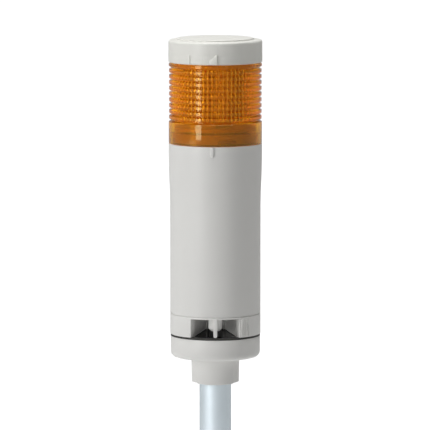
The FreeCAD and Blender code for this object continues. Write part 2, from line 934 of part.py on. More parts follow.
def make_body_tube():
    body = new_body("body_tube")
    flare_end = S.body_top - S.flare_drop
    flare_start = flare_end - S.flare_length
    flare_middle = flare_end - S.flare_length / 2
    half_flare = S.body_flare / 2
    half_length = S.flare_length / 2
    bend = (half_length * half_length + half_flare * half_flare) / (2 * half_flare)
    spigot_inner = S.body_spigot_radius - S.body_spigot_wall
    add_turned(
        body,
        "tube",
        [
            (S.body_bore, S.ring_top),
            (S.body_radius - S.seam_chamfer, S.ring_top),
            (S.body_radius, S.ring_top + S.seam_chamfer),
            (S.body_radius, flare_start, -bend),
            (S.body_radius + half_flare, flare_middle, bend),
            (S.lens_radius, flare_end),
            (S.lens_radius, S.body_top),
            (S.body_spigot_radius, S.body_top),
            (S.body_spigot_radius, S.body_spigot_top),
            (spigot_inner, S.body_spigot_top),
            (spigot_inner, S.body_top),
            (0, S.body_top),
            (0, S.deck_bottom),
            (S.body_bore, S.deck_bottom),
        ],
    )
    add_bayonet(
        body,
        "lug",
        S.body_spigot_top - S.lug_inset - S.lug_height,
        spigot_inner + S.body_spigot_wall / 2,
        S.body_spigot_radius + S.bayonet_reach,
    )
    add_body_mark(body)
    boss_top = S.ring_top + S.body_boss_height
    web_bottom = S.ring_top + S.ring_spigot_height + S.turning_gap
    at_each_screw(body, "boss", S.ring_top, boss_top, boss_circle(S.screw_boss_radius))
    at_each_screw(
        body,
        "boss_web",
        web_bottom,
        boss_top,
        lambda sketch: draw_rectangle(
            sketch,
            S.screw_circle + S.screw_boss_radius / 2,
            -S.body_boss_web / 2,
            S.body_bore + S.body_wall / 4,
            S.body_boss_web / 2,
        ),
    )
    pilot_top = S.ring_top + S.screw_engagement + S.screw_radius
    pilot = boss_circle(S.screw_radius + S.slip_fit)
    at_each_screw(body, "pilot", S.ring_top, pilot_top, pilot, "Pocket")
    add_board_rails(body)
    slot_reach = S.contact_length / 2 + S.slot_margin
    slot_half = S.contact_width / 2 + S.slot_margin
    slot = add_upright(
        body,
        "contact_slot",
        S.deck_bottom,
        S.body_top,
        lambda sketch: draw_rectangle(
            sketch,
            S.contact_circle - slot_reach,
            -slot_half,
            S.contact_circle + slot_reach,
            slot_half,
        ),
        "Pocket",
    )
    repeat_around(body, slot, CONTACT_COUNT)
    return body


def add_bayonet(body, name, bottom, inner, outer, turn=0):
    """Three bayonet lugs or tabs, round the tower's axis."""
    lug = add_upright(
        body,
        name,
        bottom,
        bottom + S.lug_height,
        lambda sketch: draw_sector(sketch, inner, outer, S.bayonet_half_angle),
        "Pad",
        S.lug_turn + turn - 90,
    )
    return repeat_around(body, lug, BAYONET_LUG_COUNT)


def add_body_mark(body):
    """The raised alignment bar under the lens, round at its lower end."""
    half = S.mark_width / 2
    bottom = S.body_top - S.mark_length + half
    sketch = new_sketch(body, "XZ_Plane", "mark_outline", S.lens_radius - S.body_wall / 2)
    draw_outline(
        sketch,
        [
            (-S.mark_offset - half, bottom, half * ROUND_END),
            (-S.mark_offset + half, bottom),
            (-S.mark_offset + half, S.body_top),
            (-S.mark_offset - half, S.body_top),
        ],
    )
    add_straight(body, "mark", sketch, S.body_wall / 2 + S.mark_proud)


def add_board_rails(body):
    """Two pairs of rails that hold the main board on edge, with a foot under it."""
    inner = S.rail_inner
    outer = S.body_bore + S.body_wall / 4
    near = S.board_thickness / 2 + S.slip_fit
    for name, low, high in (("front", -near - S.rail_width, -near), ("back", near, near + S.rail_width)):
        rail = add_upright(
            body,
            f"rail_{name}",
            S.board_bottom - S.rail_width,
            S.board_top,
            lambda sketch, low=low, high=high: draw_rectangle(sketch, inner, low, outer, high),
        )
        repeat_around(body, rail, WINDOW_COUNT)
    foot = add_upright(
        body,
        "rail_foot",
        S.board_bottom - S.rail_width,
        S.board_bottom,
        lambda sketch: draw_rectangle(sketch, inner, -near - S.rail_width, outer, near + S.rail_width),
    )
    repeat_around(body, foot, WINDOW_COUNT)


# ---------------------------------------------------------------- electronics in the body


def make_main_board():
    board = new_box(
        "main_board",
        -S.board_width / 2,
        -S.board_thickness / 2,
        S.board_bottom,
        S.board_width,
        S.board_thickness,
        S.board_top - S.board_bottom,
    )
    return labelled(board, "main_board")


def make_capacitors():
    cans = []
    level = S.board_bottom + S.capacitor_height
    for x in (S.capacitor_spacing / 2, -S.capacitor_spacing / 2):
        can = new_rod(
            f"capacitor_{len(cans)}",
            x,
            -S.board_thickness / 2,
            level,
            S.capacitor_radius,
            S.capacitor_length,
            (0, -1, 0),
        )
        cans.append(can)
    return group("capacitors", cans)


def make_choke():
    choke = new_box(
        "choke",
        -S.choke_width / 2,
        -S.board_thickness / 2 - S.choke_depth,
        S.board_top - S.choke_drop,
        S.choke_width,
        S.choke_depth,
        S.choke_width,
    )
    return labelled(choke, "choke")


def make_control_chips():
    level = S.board_bottom + S.chip_level
    chips = [
        new_box(
            f"chip_{index}",
            x - S.chip_width / 2,
            -S.board_thickness / 2 - S.chip_thickness,
            level,
            S.chip_width,
            S.chip_thickness,
            S.chip_height,
        )
        for index, x in enumerate((-S.chip_width, as_size(0) + S.chip_width))
    ]
    return group("control_chips", chips)


def terminal_places():
    first = -(TERMINAL_COUNT - 1) / 2
    return [(first + index) * S.terminal_pitch for index in range(TERMINAL_COUNT)]


def make_terminal_block():
    """A push-in terminal with square wire mouths underneath."""
    level = S.board_bottom + S.terminal_level
    face = -S.board_thickness / 2
    block = new_box(
        "terminal_blank",
        -S.terminal_width / 2,
        face - S.terminal_depth,
        level,
        S.terminal_width,
        S.terminal_depth,
        S.terminal_height,
    )
    mouths = [
        new_box(
            f"mouth_{index}",
            x - S.wire_mouth_width / 2,
            face - (S.terminal_depth + S.wire_mouth_width) / 2,
            level,
            S.wire_mouth_width,
            S.wire_mouth_width,
            S.wire_mouth_depth,
        )
        for index, x in enumerate(terminal_places())
    ]
    return labelled(cut("terminal_block", block, join("terminal_mouths", mouths)), "terminal_block")


def make_terminal_levers():
    level = S.board_bottom + S.terminal_level + S.terminal_height / 2
    face = -S.board_thickness / 2 - S.terminal_depth
    levers = [
        new_box(
            f"lever_{index}",
            x - S.lever_width / 2,
            face - S.lever_rise,
            level - S.lever_height / 2,
            S.lever_width,
            S.lever_rise,
            S.lever_height,
        )
        for index, x in enumerate(terminal_places())
    ]
    return group("terminal_levers", levers)


def make_socket_board():
    bottom = S.deck_bottom - S.board_thickness
    width = 2 * (S.body_bore - S.socket_board_margin) * cosine(as_size(45))
    board = new_box("socket_board", -width / 2, -width / 2, bottom, width, width, S.board_thickness)
    return labelled(board, "socket_board")


def make_contact_springs():
    """Four sprung strips, arched up through the deck's slots."""
    members = []
    half = S.contact_length / 2
    rise = S.contact_top - S.deck_bottom
    crest = half / 3
    for index in range(CONTACT_COUNT):
        body = new_body(f"contact_spring_{index}")
        sketch = new_sketch(body, "XZ_Plane", f"spring_outline_{index}", -S.contact_width / 2)
        middle = S.contact_circle
        draw_outline(
            sketch,
            [
                (middle - half, S.deck_bottom),
                (middle - half + S.contact_strip, S.deck_bottom),
                (middle - crest, S.deck_bottom + rise - S.contact_strip),
                (middle + crest, S.deck_bottom + rise - S.contact_strip),
                (middle + half - S.contact_strip, S.deck_bottom),
                (middle + half, S.deck_bottom),
                (middle + crest + S.contact_strip, S.deck_bottom + rise),
                (middle - crest - S.contact_strip, S.deck_bottom + rise),
            ],
        )
        add_straight(body, f"spring_{index}", sketch, S.contact_width)
        body.Placement.Rotation = FreeCAD.Rotation(FreeCAD.Vector(0, 0, 1), index * 360 / CONTACT_COUNT)
        members.append(body)
    return group("contact_springs", members)


# ---------------------------------------------------------------- lens unit


def make_lens_seal():
    inner = S.body_spigot_radius + S.slip_fit
    outer = inner + S.ring_seal_width
    top = S.body_top + S.ring_seal_height
    corners = [(inner, S.body_top), (outer, S.body_top), (outer, top), (inner, top)]
    return turned_solid("lens_seal", corners)


def make_amber_lens():
    body = new_body("amber_lens")
    crest = S.lens_radius - S.crest_drop
    flange_bottom = S.lens_top - S.flange_depth
    skirt_step = S.body_spigot_top + S.turning_gap
    add_turned(
        body,
        "lens",
        [
            (S.skirt_bore, S.lens_bottom),
            (S.lens_radius, S.lens_bottom),
            (S.lens_radius, S.body_top + S.skirt_height - S.groove_mouth / 2 - S.crest_drop),
            (crest, S.body_top + S.skirt_height - S.groove_mouth / 2),
            (crest, flange_bottom - S.flange_taper),
            (S.lens_radius, flange_bottom),
            (S.lens_radius, S.lens_top),
            (S.lens_bore, S.lens_top),
            (S.lens_bore, skirt_step),
            (S.skirt_bore, skirt_step),
        ],
    )
    level = S.body_top + S.skirt_height
    floor = crest - S.groove_depth
    mouth = S.groove_mouth / 2
    corners = [(floor, level), (crest, level - mouth), (crest + mouth, level), (crest, level + mouth)]
    groove = add_turned(body, "groove", corners, "Groove")
    grooves = body.newObject("PartDesign::LinearPattern", "grooves")
    grooves.Originals = [groove]
    grooves.Direction = (origin_feature(body, "Z_Axis"), [""])
    grooves.Length = (LENS_GROOVE_COUNT - 1) * S.ring_pitch.number
    grooves.setExpression("Length", f"{LENS_GROOVE_COUNT - 1} * {S.ring_pitch.formula}")
    grooves.Occurrences = LENS_GROOVE_COUNT
    body.Tip = grooves
    add_flutes(body)
    tab_outer = S.skirt_bore + S.lens_wall / 2
    tab_bottom = S.body_spigot_top - S.lug_inset - 2 * S.lug_height - S.turning_gap
    add_bayonet(body, "tab", tab_bottom, S.skirt_bore - S.bayonet_reach, tab_outer)
    top_inner = S.lens_bore - S.bayonet_reach - S.turning_gap
    top_bottom = S.lens_top - S.lug_inset - S.lug_height
    add_bayonet(body, "top_tab", top_bottom, top_inner, S.lens_bore + S.lens_wall / 4)
    return body


def add_flutes(body):
    """Upright prisms round the inside of the lens, which spread the light sideways."""
    half = Size(225 / LENS_FLUTE_COUNT, f"(225 / {LENS_FLUTE_COUNT})")
    root = S.lens_bore + S.flute_depth / 4
    flute = add_upright(
        body,
        "flute",
        S.body_top + S.flute_start,
        S.lens_top - S.flute_top_margin,
        lambda sketch: draw_outline(
            sketch,
            [
                (root * cosine(half), -(root * sine(half))),
                (root * cosine(half), root * sine(half)),
                (S.lens_bore - S.flute_depth, 0),
            ],
        ),
    )
    repeat_around(body, flute, LENS_FLUTE_COUNT)


def make_module_base():
    """The disc that carries the light source; four pins hang from it."""
    radius = S.lens_bore - S.loose_fit
    bottom, top = S.module_bottom, S.module_top
    return turned_solid("module_base", [(0, bottom), (radius, bottom), (radius, top), (0, top)])


def make_contact_pins():
    """Four square pins, clear of the springs by the turning gap so that the lens unit can turn."""
    bottom = S.contact_top + S.turning_gap
    half = S.pin_width / 2
    pins = [
        new_box(
            f"contact_pin_{index}",
            x * S.contact_circle - half,
            y * S.contact_circle - half,
            bottom,
            S.pin_width,
            S.pin_width,
            S.module_bottom - bottom,
        )
        for index, (x, y) in enumerate(((1, 0), (0, 1), (-1, 0), (0, -1)))
    ]
    return group("contact_pins", pins)


def make_led_carrier():
    """A square post with a plate on top; the light strips stand against its sides."""
    half = S.carrier_width / 2
    post = new_box(
        "carrier_post",
        -half,
        -half,
        S.module_top,
        S.carrier_width,
        S.carrier_width,
        S.carrier_height,
    )
    inside = S.carrier_width - 2 * S.carrier_wall
    hollow = new_box(
        "carrier_hollow",
        -inside / 2,
        -inside / 2,
        S.module_top,
        inside,
        inside,
        S.carrier_height - S.carrier_wall,
    )
    return group("led_carrier", [turned_about_axis(cut("carrier_shell", post, hollow), 0)])


def turned_about_axis(piece, turn):
    """The piece turned about the tower's axis, by the carrier's own turn and a further one."""
    spin = doc.addObject("Part::Compound", f"{piece.Name}_side")
    spin.Links = [piece]
    angle = S.carrier_turn + turn
    spin.Placement.Rotation = FreeCAD.Rotation(FreeCAD.Vector(0, 0, 1), angle.number)
    spin.setExpression("Placement.Rotation.Angle", angle.formula)
    return spin


def on_each_side(label, make_one):
    """Copies of one board piece, one for each side of the carrier."""
    members = []
    for index in range(CARRIER_SIDE_COUNT):
        for piece in make_one(index):
            members.append(turned_about_axis(piece, index * 360 / CARRIER_SIDE_COUNT))
    return group(label, members)


def make_led_strips():
    def one_strip(index):
        strip = new_box(
            f"strip_{index}",
            S.carrier_width / 2,
            -S.strip_width / 2,
            S.module_top + S.strip_margin,
            S.strip_thickness,
            S.strip_width,
            S.strip_height,
        )
        return [strip]

    return on_each_side("led_strips", one_strip)


def make_leds():
    middle = S.module_top + S.strip_margin + S.strip_height / 2
    first = -(LED_COUNT - 1) / 2

    def one_row(index):
        return [
            new_box(
                f"led_{index}_{place}",
                S.carrier_width / 2 + S.strip_thickness,
                -S.led_size / 2,
                middle + (first + place) * S.led_pitch - S.led_size / 2,
                S.led_thickness,
                S.led_size,
                S.led_size,
            )
            for place in range(LED_COUNT)
        ]

    return on_each_side("leds", one_row)


# ---------------------------------------------------------------- top cap


def make_top_cap():
    body = new_body("top_cap")
    plate_bottom = S.cap_top - S.cap_plate
    wall_inner = S.cap_radius - S.cap_wall
    spigot_inner = S.cap_spigot_radius - S.cap_spigot_wall
    add_turned(
        body,
        "cap",
        [
            (wall_inner, S.cap_bottom),
            (S.cap_radius - S.cap_chamfer, S.cap_bottom),
            (S.cap_radius, S.cap_bottom + S.cap_chamfer),
            *rounded_edge(S.cap_radius, S.cap_top, -S.shoulder_radius, 3)[::-1],
            (S.disc_radius, S.cap_top),
            (S.disc_radius, S.cap_top + S.disc_rise),
            (0, S.cap_top + S.disc_rise),
            (0, plate_bottom),
            (spigot_inner, plate_bottom),
            (spigot_inner, S.cap_spigot_bottom),
            (S.cap_spigot_radius, S.cap_spigot_bottom),
            (S.cap_spigot_radius, plate_bottom),
            (wall_inner, plate_bottom),
        ],
    )
    add_bayonet(
        body,
        "cap_lug",
        S.lens_top - S.lug_inset - 2 * S.lug_height - S.turning_gap,
        S.cap_spigot_radius - S.cap_spigot_wall / 2,
        S.lens_bore - S.flute_depth - S.turning_gap,
    )
    add_cap_marks(body)
    return body


def add_cap_marks(body):
    """The raised twist marks: a thin upright rib, and a ramp that stands proud at its right edge."""
    mark_bottom = S.cap_bottom + S.cap_chamfer
    half = S.rib_width / 2
    add_upright(
        body,
        "rib_mark",
        mark_bottom,
        S.cap_bottom + S.rib_length,
        lambda sketch: draw_rectangle(
            sketch,
            S.cap_radius - S.cap_wall / 2,
            -half,
            S.cap_radius + S.rib_proud,
            half,
        ),
        "Pad",
        -S.rib_angle - 90,
    )
    left = S.arrow_edge - S.arrow_width
    start = S.cap_radius - S.cap_wall / 2
    sketch = new_sketch(body, "XZ_Plane", "arrow_outline", start)
    draw_outline(
        sketch,
        [
            (left, mark_bottom),
            (S.arrow_edge, mark_bottom),
            (S.arrow_edge, S.cap_bottom + S.arrow_tall),
            (left, S.cap_bottom + S.arrow_low),
        ],
    )
    add_straight(body, "arrow_mark", sketch, S.cap_wall / 2 + S.arrow_proud)
    ramp = S.cap_radius + S.arrow_proud
    add_upright(
        body,
        "arrow_ramp",
        mark_bottom,
        S.cap_bottom + S.arrow_tall,
        lambda sketch: draw_outline(
            sketch,
            [(left, -(ramp + S.arrow_proud)), (S.arrow_edge, -ramp), (left, -S.cap_radius)],
        ),
        "Pocket",
    )


# ---------------------------------------------------------------- build, check and write


def build_all():
    return [
        make_pole(),
        make_base_cap(),
        make_pole_screws(),
        make_base_screws(),
        make_base_seal(),
        make_sound_deflector(),
        make_sound_ring(),
        make_sounder(),
        make_body_tube(),
        make_main_board(),
        make_capacitors(),
        make_choke(),
        make_control_chips(),
        make_terminal_block(),
        make_terminal_levers(),
        make_socket_board(),
        make_contact_springs(),
        make_lens_seal(),
        make_amber_lens(),
        make_module_base(),
        make_contact_pins(),
        make_led_carrier(),
        make_led_strips(),
        make_leds(),
        make_top_cap(),
    ]


def check_document(pieces):
    """Stops with a message if any object failed, or if any piece has no valid solid."""
    failed = [thing.Name for thing in doc.Objects if {"Invalid", "Error"} & set(thing.State)]
    if failed:
        raise RuntimeError(f"these objects failed: {failed}")
    for piece in pieces:
        shape = piece.Shape
        if shape.isNull() or not shape.isValid() or not shape.Solids:
            raise RuntimeError(f"{piece.Label} has no valid solid")


pieces = build_all()
doc.recompute()
check_document(pieces)
for piece in pieces:
    shape = piece.Shape
    shape.exportStep(f"parts/{piece.Label}.step")
    box = shape.BoundBox
    print(
        f"{piece.Label}: {len(shape.Solids)} solid(s), {shape.Volume / 1000:.2f} cm3,"
        f" z {box.ZMin:.2f} to {box.ZMax:.2f}, across {box.XLength:.2f}"
    )
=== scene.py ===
# %% [markdown]
# # A signal tower
# The real thing is a slim light that stands on machines: a white moulded body, a ring with sound
# windows at its foot, an amber lens and a white cap, all on an aluminium pole. The exact solids
# come from a CAD model, which is loaded here as a fixed frame. Blender adds what the eye needs:
# rounded edges, the fine shape of the lens, and a finish for every surface.

# %% Load the frame
import json
from math import atan, cos, degrees, pi, radians, sin, tan

import bmesh
import bpy
from mathutils import Matrix, Vector

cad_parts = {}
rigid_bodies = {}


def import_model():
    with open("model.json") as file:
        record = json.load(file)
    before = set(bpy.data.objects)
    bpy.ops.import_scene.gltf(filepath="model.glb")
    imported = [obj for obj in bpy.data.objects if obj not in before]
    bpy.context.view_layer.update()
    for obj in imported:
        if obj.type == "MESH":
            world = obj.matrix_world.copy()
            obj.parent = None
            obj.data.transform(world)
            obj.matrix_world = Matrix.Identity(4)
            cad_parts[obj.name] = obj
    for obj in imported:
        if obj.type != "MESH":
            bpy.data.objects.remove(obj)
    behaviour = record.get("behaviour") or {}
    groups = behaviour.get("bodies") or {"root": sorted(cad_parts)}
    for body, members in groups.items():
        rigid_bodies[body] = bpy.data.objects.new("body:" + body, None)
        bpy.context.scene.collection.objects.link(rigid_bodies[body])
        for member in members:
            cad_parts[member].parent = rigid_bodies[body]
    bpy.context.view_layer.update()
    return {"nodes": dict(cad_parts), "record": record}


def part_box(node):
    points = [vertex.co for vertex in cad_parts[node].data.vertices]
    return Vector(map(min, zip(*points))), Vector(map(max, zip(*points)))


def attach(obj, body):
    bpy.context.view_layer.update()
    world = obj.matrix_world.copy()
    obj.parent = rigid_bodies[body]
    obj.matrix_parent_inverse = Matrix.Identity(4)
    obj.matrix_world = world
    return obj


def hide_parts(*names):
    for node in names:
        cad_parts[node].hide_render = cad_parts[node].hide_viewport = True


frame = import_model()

nodes = frame["nodes"]

# %% [markdown]
# ## Measuring from the frame
# Sizes below are written in millimetres, because that is how such parts are drawn. Blender works
# in metres, so `MM` turns one into the other where vertices are made. The levels at which pieces
# meet are read from the frame, so that nothing has to be fitted by eye.

# %% Levels and sizes
MM = 0.001
TURN_GAP = 0.3


def box_mm(node):
    """Lowest and highest corner of a CAD node, in millimetres."""
    low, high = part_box(node)
    return low / MM, high / MM


pole_end, tenon_top = (corner.z for corner in box_mm("pole"))
lip_bottom, foot_top = (corner.z for corner in box_mm("base_cap"))
ring_bottom = box_mm("base_seal")[1].z
body_bottom, spigot_top = (corner.z for corner in box_mm("body_tube"))
lens_bottom, lens_top = (corner.z for corner in box_mm("amber_lens"))
body_top = lens_bottom - TURN_GAP
cap_bottom = lens_top + TURN_GAP
cap_peak = box_mm("top_cap")[1].z
lens_radius = box_mm("amber_lens")[1].x
cap_radius = box_mm("top_cap")[1].x
pole_radius = box_mm("pole")[1].x
print("levels:", [round(v, 1) for v in (foot_top, ring_bottom, body_bottom, body_top, cap_bottom, cap_peak)])

# %% [markdown]
# ## Turned shapes
# Almost every piece of the tower is round. One way to make a round piece is the Screw modifier;
# another is to place the rings of vertices in code. Code is used here, because each corner of the
# outline can then be given its own small rounding, and moulded plastic is recognised by how
# its edges catch the light.

# %% Outline helper


def rounded(corners, steps=5):
    """An outline from corners of (radius, height) or (radius, height, rounding), in millimetres."""
    points = []
    for index, corner in enumerate(corners):
        here = Vector(corner[:2])
        size = corner[2] if len(corner) > 2 else 0
        if not size:
            points.append(tuple(here))
            continue
        back = Vector(corners[index - 1][:2]) - here
        ahead = Vector(corners[(index + 1) % len(corners)][:2]) - here
        half = back.angle(ahead) / 2
        reach = min(size / tan(half), back.length * 0.49, ahead.length * 0.49)
        size = reach * tan(half)
        centre = here + (back.normalized() + ahead.normalized()).normalized() * (size / sin(half))
        first = here + back.normalized() * reach - centre
        last = here + ahead.normalized() * reach - centre
        turn = first.angle_signed(last)
        for step in range(steps + 1):
            spoke = first.copy()
            spoke.rotate(Matrix.Rotation(-turn * step / steps, 2))
            points.append(tuple(centre + spoke))
    return points


print("a rounded corner:", len(rounded([(0, 0), (1, 0), (1, 1, 0.2)])) - 2, "points")

# %% Mesh helpers
SHARP = 40
SHARP_AFTER_BEVEL = 50
SAME_POINT = 1e-7


def placed(name, data):
    """An object in the scene for a mesh, lamp or camera."""
    piece = bpy.data.objects.new(name, data)
    bpy.context.scene.collection.objects.link(piece)
    return piece


def finished_mesh(name, verts, faces):
    """A mesh object from millimetre corners, smooth but for edges sharper than the angle."""
    mesh = bpy.data.meshes.new(name)
    mesh.from_pydata([tuple(c * MM for c in vert) for vert in verts], [], faces)
    shell = bmesh.new()
    shell.from_mesh(mesh)
    bmesh.ops.remove_doubles(shell, verts=shell.verts, dist=SAME_POINT)
    bmesh.ops.recalc_face_normals(shell, faces=shell.faces)
    shell.to_mesh(mesh)
    shell.free()
    mesh.shade_smooth()
    mesh.set_sharp_from_angle(angle=radians(SHARP))
    return placed(name, mesh)


print("edges sharper than", SHARP, "degrees stay sharp")

# %% Turned and straight blocks


def lathe(name, outline, steps=256):
    """Spins a closed outline round the tower's axis."""
    verts, rings, faces = [], [], []
    for radius, height in outline:
        count = steps if radius > 0 else 1
        rings.append([len(verts) + i for i in range(count)])
        for i in range(count):
            angle = 2 * pi * i / steps
            verts.append((radius * cos(angle), radius * sin(angle), height))
    for low, high in zip(rings, rings[1:] + rings[:1]):
        if len(low) == len(high) == 1:
            continue
        for i in range(steps):
            j = (i + 1) % steps
            quad = [low[i % len(low)], low[j % len(low)], high[j % len(high)], high[i % len(high)]]
            faces.append(list(dict.fromkeys(quad)))
    return finished_mesh(name, verts, faces)


def prism(name, outline, bottom, top):
    """A straight block from a closed outline of (x, y), between two levels."""
    count = len(outline)
    verts = [(x, y, bottom) for x, y in outline] + [(x, y, top) for x, y in outline]
    sides = [(i, (i + 1) % count, (i + 1) % count + count, i + count) for i in range(count)]
    faces = sides + [tuple(range(count)), tuple(range(count, 2 * count))]
    return finished_mesh(name, verts, faces)


def ring_block(name, inner, outer, bottom, top, middle, half, steps=12):
    """A block of a ring, centred on an angle counted from the front towards the right."""
    angles = [radians(middle - 90 - half + 2 * half * i / steps) for i in range(steps + 1)]
    outline = [(outer * cos(a), outer * sin(a)) for a in angles]
    outline += [(inner * cos(a), inner * sin(a)) for a in reversed(angles)]
    return prism(name, outline, bottom, top)


# %% Helpers that join and soften


def join(name, pieces):
    """One object from several."""
    whole = bmesh.new()
    for piece in pieces:
        whole.from_mesh(piece.data)
        bpy.data.objects.remove(piece)
    mesh = bpy.data.meshes.new(name)
    whole.to_mesh(mesh)
    whole.free()
    mesh.set_sharp_from_angle(angle=radians(SHARP))
    return placed(name, mesh)


def applied(piece):
    """The piece with its modifiers made part of its mesh."""
    graph = bpy.context.evaluated_depsgraph_get()
    mesh = bpy.data.meshes.new_from_object(piece.evaluated_get(graph), depsgraph=graph)
    piece.modifiers.clear()
    piece.data = mesh
    mesh.name = piece.name
    return piece


def soften(piece, width, segments=2, angle=30):
    """Rounds every edge sharper than the angle by a bevel, in millimetres."""
    bevel = piece.modifiers.new("edge", "BEVEL")
    bevel.width = width * MM
    bevel.segments = segments
    bevel.limit_method = "ANGLE"
    bevel.angle_limit = radians(angle)
    applied(piece)
    piece.data.shade_smooth()
    piece.data.set_sharp_from_angle(angle=radians(SHARP_AFTER_BEVEL))
    return piece


# %% [markdown]
# ## Finishes
# A moulded part is never one flat colour. Its tint drifts a little, its polish is uneven, and its
# skin has a very fine grain from the mould. Each material below starts from one shader and gets
# those three things from noise textures that read the object's own coordinates, so that they stay
# put when the camera moves.

# %% Node helpers
# The colour Mix node has hidden sockets of the same name, so its own are known by number.
MIX_INPUTS = (0, 6, 7)
MIX_RESULT = 2


def add_node(tree, kind, **inputs):
    """A node with its sockets set by name; underscores stand for spaces."""
    made = tree.nodes.new(kind)
    for name, value in inputs.items():
        socket = made.inputs[name.replace("_", " ")]
        if isinstance(value, bpy.types.NodeSocket):
            tree.links.new(value, socket)
        else:
            socket.default_value = value
    return made


def math_node(tree, operation, *values):
    """The result of one sum, with each value a socket or a number."""
    made = tree.nodes.new("ShaderNodeMath")
    made.operation = operation
    for socket, value in zip(made.inputs, values):
        if isinstance(value, bpy.types.NodeSocket):
            tree.links.new(value, socket)
        else:
            socket.default_value = value
    return made.outputs[0]


def noise(tree, scale, detail=2.0, stretch=(1, 1, 1)):
    """A noise pattern on object coordinates; scale counts blobs per metre."""
    place = tree.nodes.new("ShaderNodeTexCoord").outputs["Object"]
    mapping = add_node(tree, "ShaderNodeMapping", Vector=place, Scale=stretch)
    pattern = add_node(
        tree, "ShaderNodeTexNoise", Vector=mapping.outputs["Vector"], Scale=scale, Detail=detail
    )
    return pattern.outputs["Fac"]


def colour_mix(tree, first, second, factor, blend_type="MIX"):
    """The colour between two, each of them a socket or a plain colour."""
    made = tree.nodes.new("ShaderNodeMix")
    made.data_type = "RGBA"
    made.blend_type = blend_type
    for number, value in zip(MIX_INPUTS, (factor, first, second)):
        if isinstance(value, bpy.types.NodeSocket):
            tree.links.new(value, made.inputs[number])
        else:
            made.inputs[number].default_value = value
    return made.outputs[MIX_RESULT]


# %% Finish recipe
TINT_BLOBS = 90
POLISH_BLOBS = 240
GRAIN_STRENGTH = 0.4


def finish(name, color, roughness, tint=0.04, uneven=0.05, grain=0.0, grain_blobs=2500, **sockets):
    """A material with drifting tint, uneven polish and a grain of a depth in millimetres."""
    material = bpy.data.materials.new(name)
    material.use_nodes = True
    tree = material.node_tree
    shader = tree.nodes["Principled BSDF"]
    for socket, value in sockets.items():
        shader.inputs[socket.replace("_", " ")].default_value = value
    darker = [c * (1 - tint) for c in color]
    lighter = [min(c * (1 + tint), 1) for c in color]
    drift = colour_mix(tree, (*darker, 1), (*lighter, 1), noise(tree, TINT_BLOBS))
    tree.links.new(drift, shader.inputs["Base Color"])
    polish = add_node(tree, "ShaderNodeMapRange", Value=noise(tree, POLISH_BLOBS, 3))
    polish.inputs["To Min"].default_value = max(roughness - uneven, 0)
    polish.inputs["To Max"].default_value = roughness + uneven
    tree.links.new(polish.outputs["Result"], shader.inputs["Roughness"])
    if grain:
        bump = add_node(tree, "ShaderNodeBump", Height=noise(tree, grain_blobs), Distance=grain * MM)
        bump.inputs["Strength"].default_value = GRAIN_STRENGTH
        tree.links.new(bump.outputs["Normal"], shader.inputs["Normal"])
    print("finish:", name)
    return material


# %% [markdown]
# ### White plastic, black plastic and rubber
# The white housings are a polycarbonate blend with a soft sheen. The deflector under the sounder
# is polished black, so that it mirrors the windows. The seals are matt rubber. All of them are the
# same recipe with other numbers, which is why the recipe is a function.

# %% Plastics and rubber
white_plastic = finish(
    "white_plastic", (0.81, 0.805, 0.78), 0.42, 0.012, 0.05, 0.02, Specular_IOR_Level=0.35
)
cap_plastic = finish(
    "cap_plastic", (0.84, 0.835, 0.785), 0.40, 0.015, 0.05, 0.02, Specular_IOR_Level=0.35
)
black_gloss = finish("black_gloss", (0.012, 0.012, 0.013), 0.09, 0.2, 0.04, 0.004, IOR=1.52)
black_matt = finish("black_matt", (0.025, 0.025, 0.026), 0.55, 0.2, 0.08, 0.02)
seal_rubber = finish("seal_rubber", (0.024, 0.024, 0.021), 0.6, 0.25, 0.1, 0.03, 1500)
green_plastic = finish("green_plastic", (0.03, 0.2, 0.09), 0.5, 0.1, 0.08, 0.02)
orange_plastic = finish("orange_plastic", (0.7, 0.2, 0.02), 0.45, 0.08, 0.08, 0.02)
green_laminate = finish("green_laminate", (0.02, 0.12, 0.05), 0.3, 0.25, 0.08, 0.01)
white_laminate = finish("white_laminate", (0.62, 0.62, 0.58), 0.35, 0.05, 0.08, 0.01)

# %% [markdown]
# ### Metals
# The pole is a drawn and anodised tube. Drawing leaves very fine lines along its length, so its
# noise is stretched along Z until the blobs become streaks. Screws are zinc plated, contacts are
# gold-flashed brass.

# %% Metal finishes
zinc_steel = finish("zinc_steel", (0.62, 0.62, 0.6), 0.32, 0.1, 0.1, 0.01, Metallic=1.0)
contact_brass = finish("contact_brass", (0.83, 0.62, 0.27), 0.25, 0.08, 0.08, 0.005, Metallic=1.0)
can_aluminium = finish("can_aluminium", (0.8, 0.8, 0.81), 0.28, 0.05, 0.08, 0.005, Metallic=1.0)
satin_aluminium = finish("satin_aluminium", (0.70, 0.77, 0.81), 0.62, 0.03, 0.04, Metallic=0.9)

# %% Drawn lines on the pole
LINE_BLOBS = 1800
LINE_STRETCH = (1, 1, 0.01)
LINE_DEPTH = 0.01
LINE_STRENGTH = 0.5


def draw_lines(material):
    """Adds the fine lengthwise lines of a drawn tube."""
    tree = material.node_tree
    lines = noise(tree, LINE_BLOBS, 3, LINE_STRETCH)
    bump = add_node(tree, "ShaderNodeBump", Height=lines, Distance=LINE_DEPTH * MM)
    bump.inputs["Strength"].default_value = LINE_STRENGTH
    tree.links.new(bump.outputs["Normal"], tree.nodes["Principled BSDF"].inputs["Normal"])


draw_lines(satin_aluminium)
print("drawn lines on:", satin_aluminium.name)

# %% [markdown]
# ### Amber lens
# The lens is clear plastic coloured right through. In Blender that can be a tinted transparent
# shader, which is quick but shows no refraction, or transmission, which bends light in every ring
# and flute. Transmission is slower and is used here, because the crossing of the outer rings with
# the inner flutes is what makes this lens look the way it does. A fifth of the light is scattered
# as in any plastic, so the side towards the key lamp is brighter. Its gloss takes a warm tint,
# because the rings mirror each other.

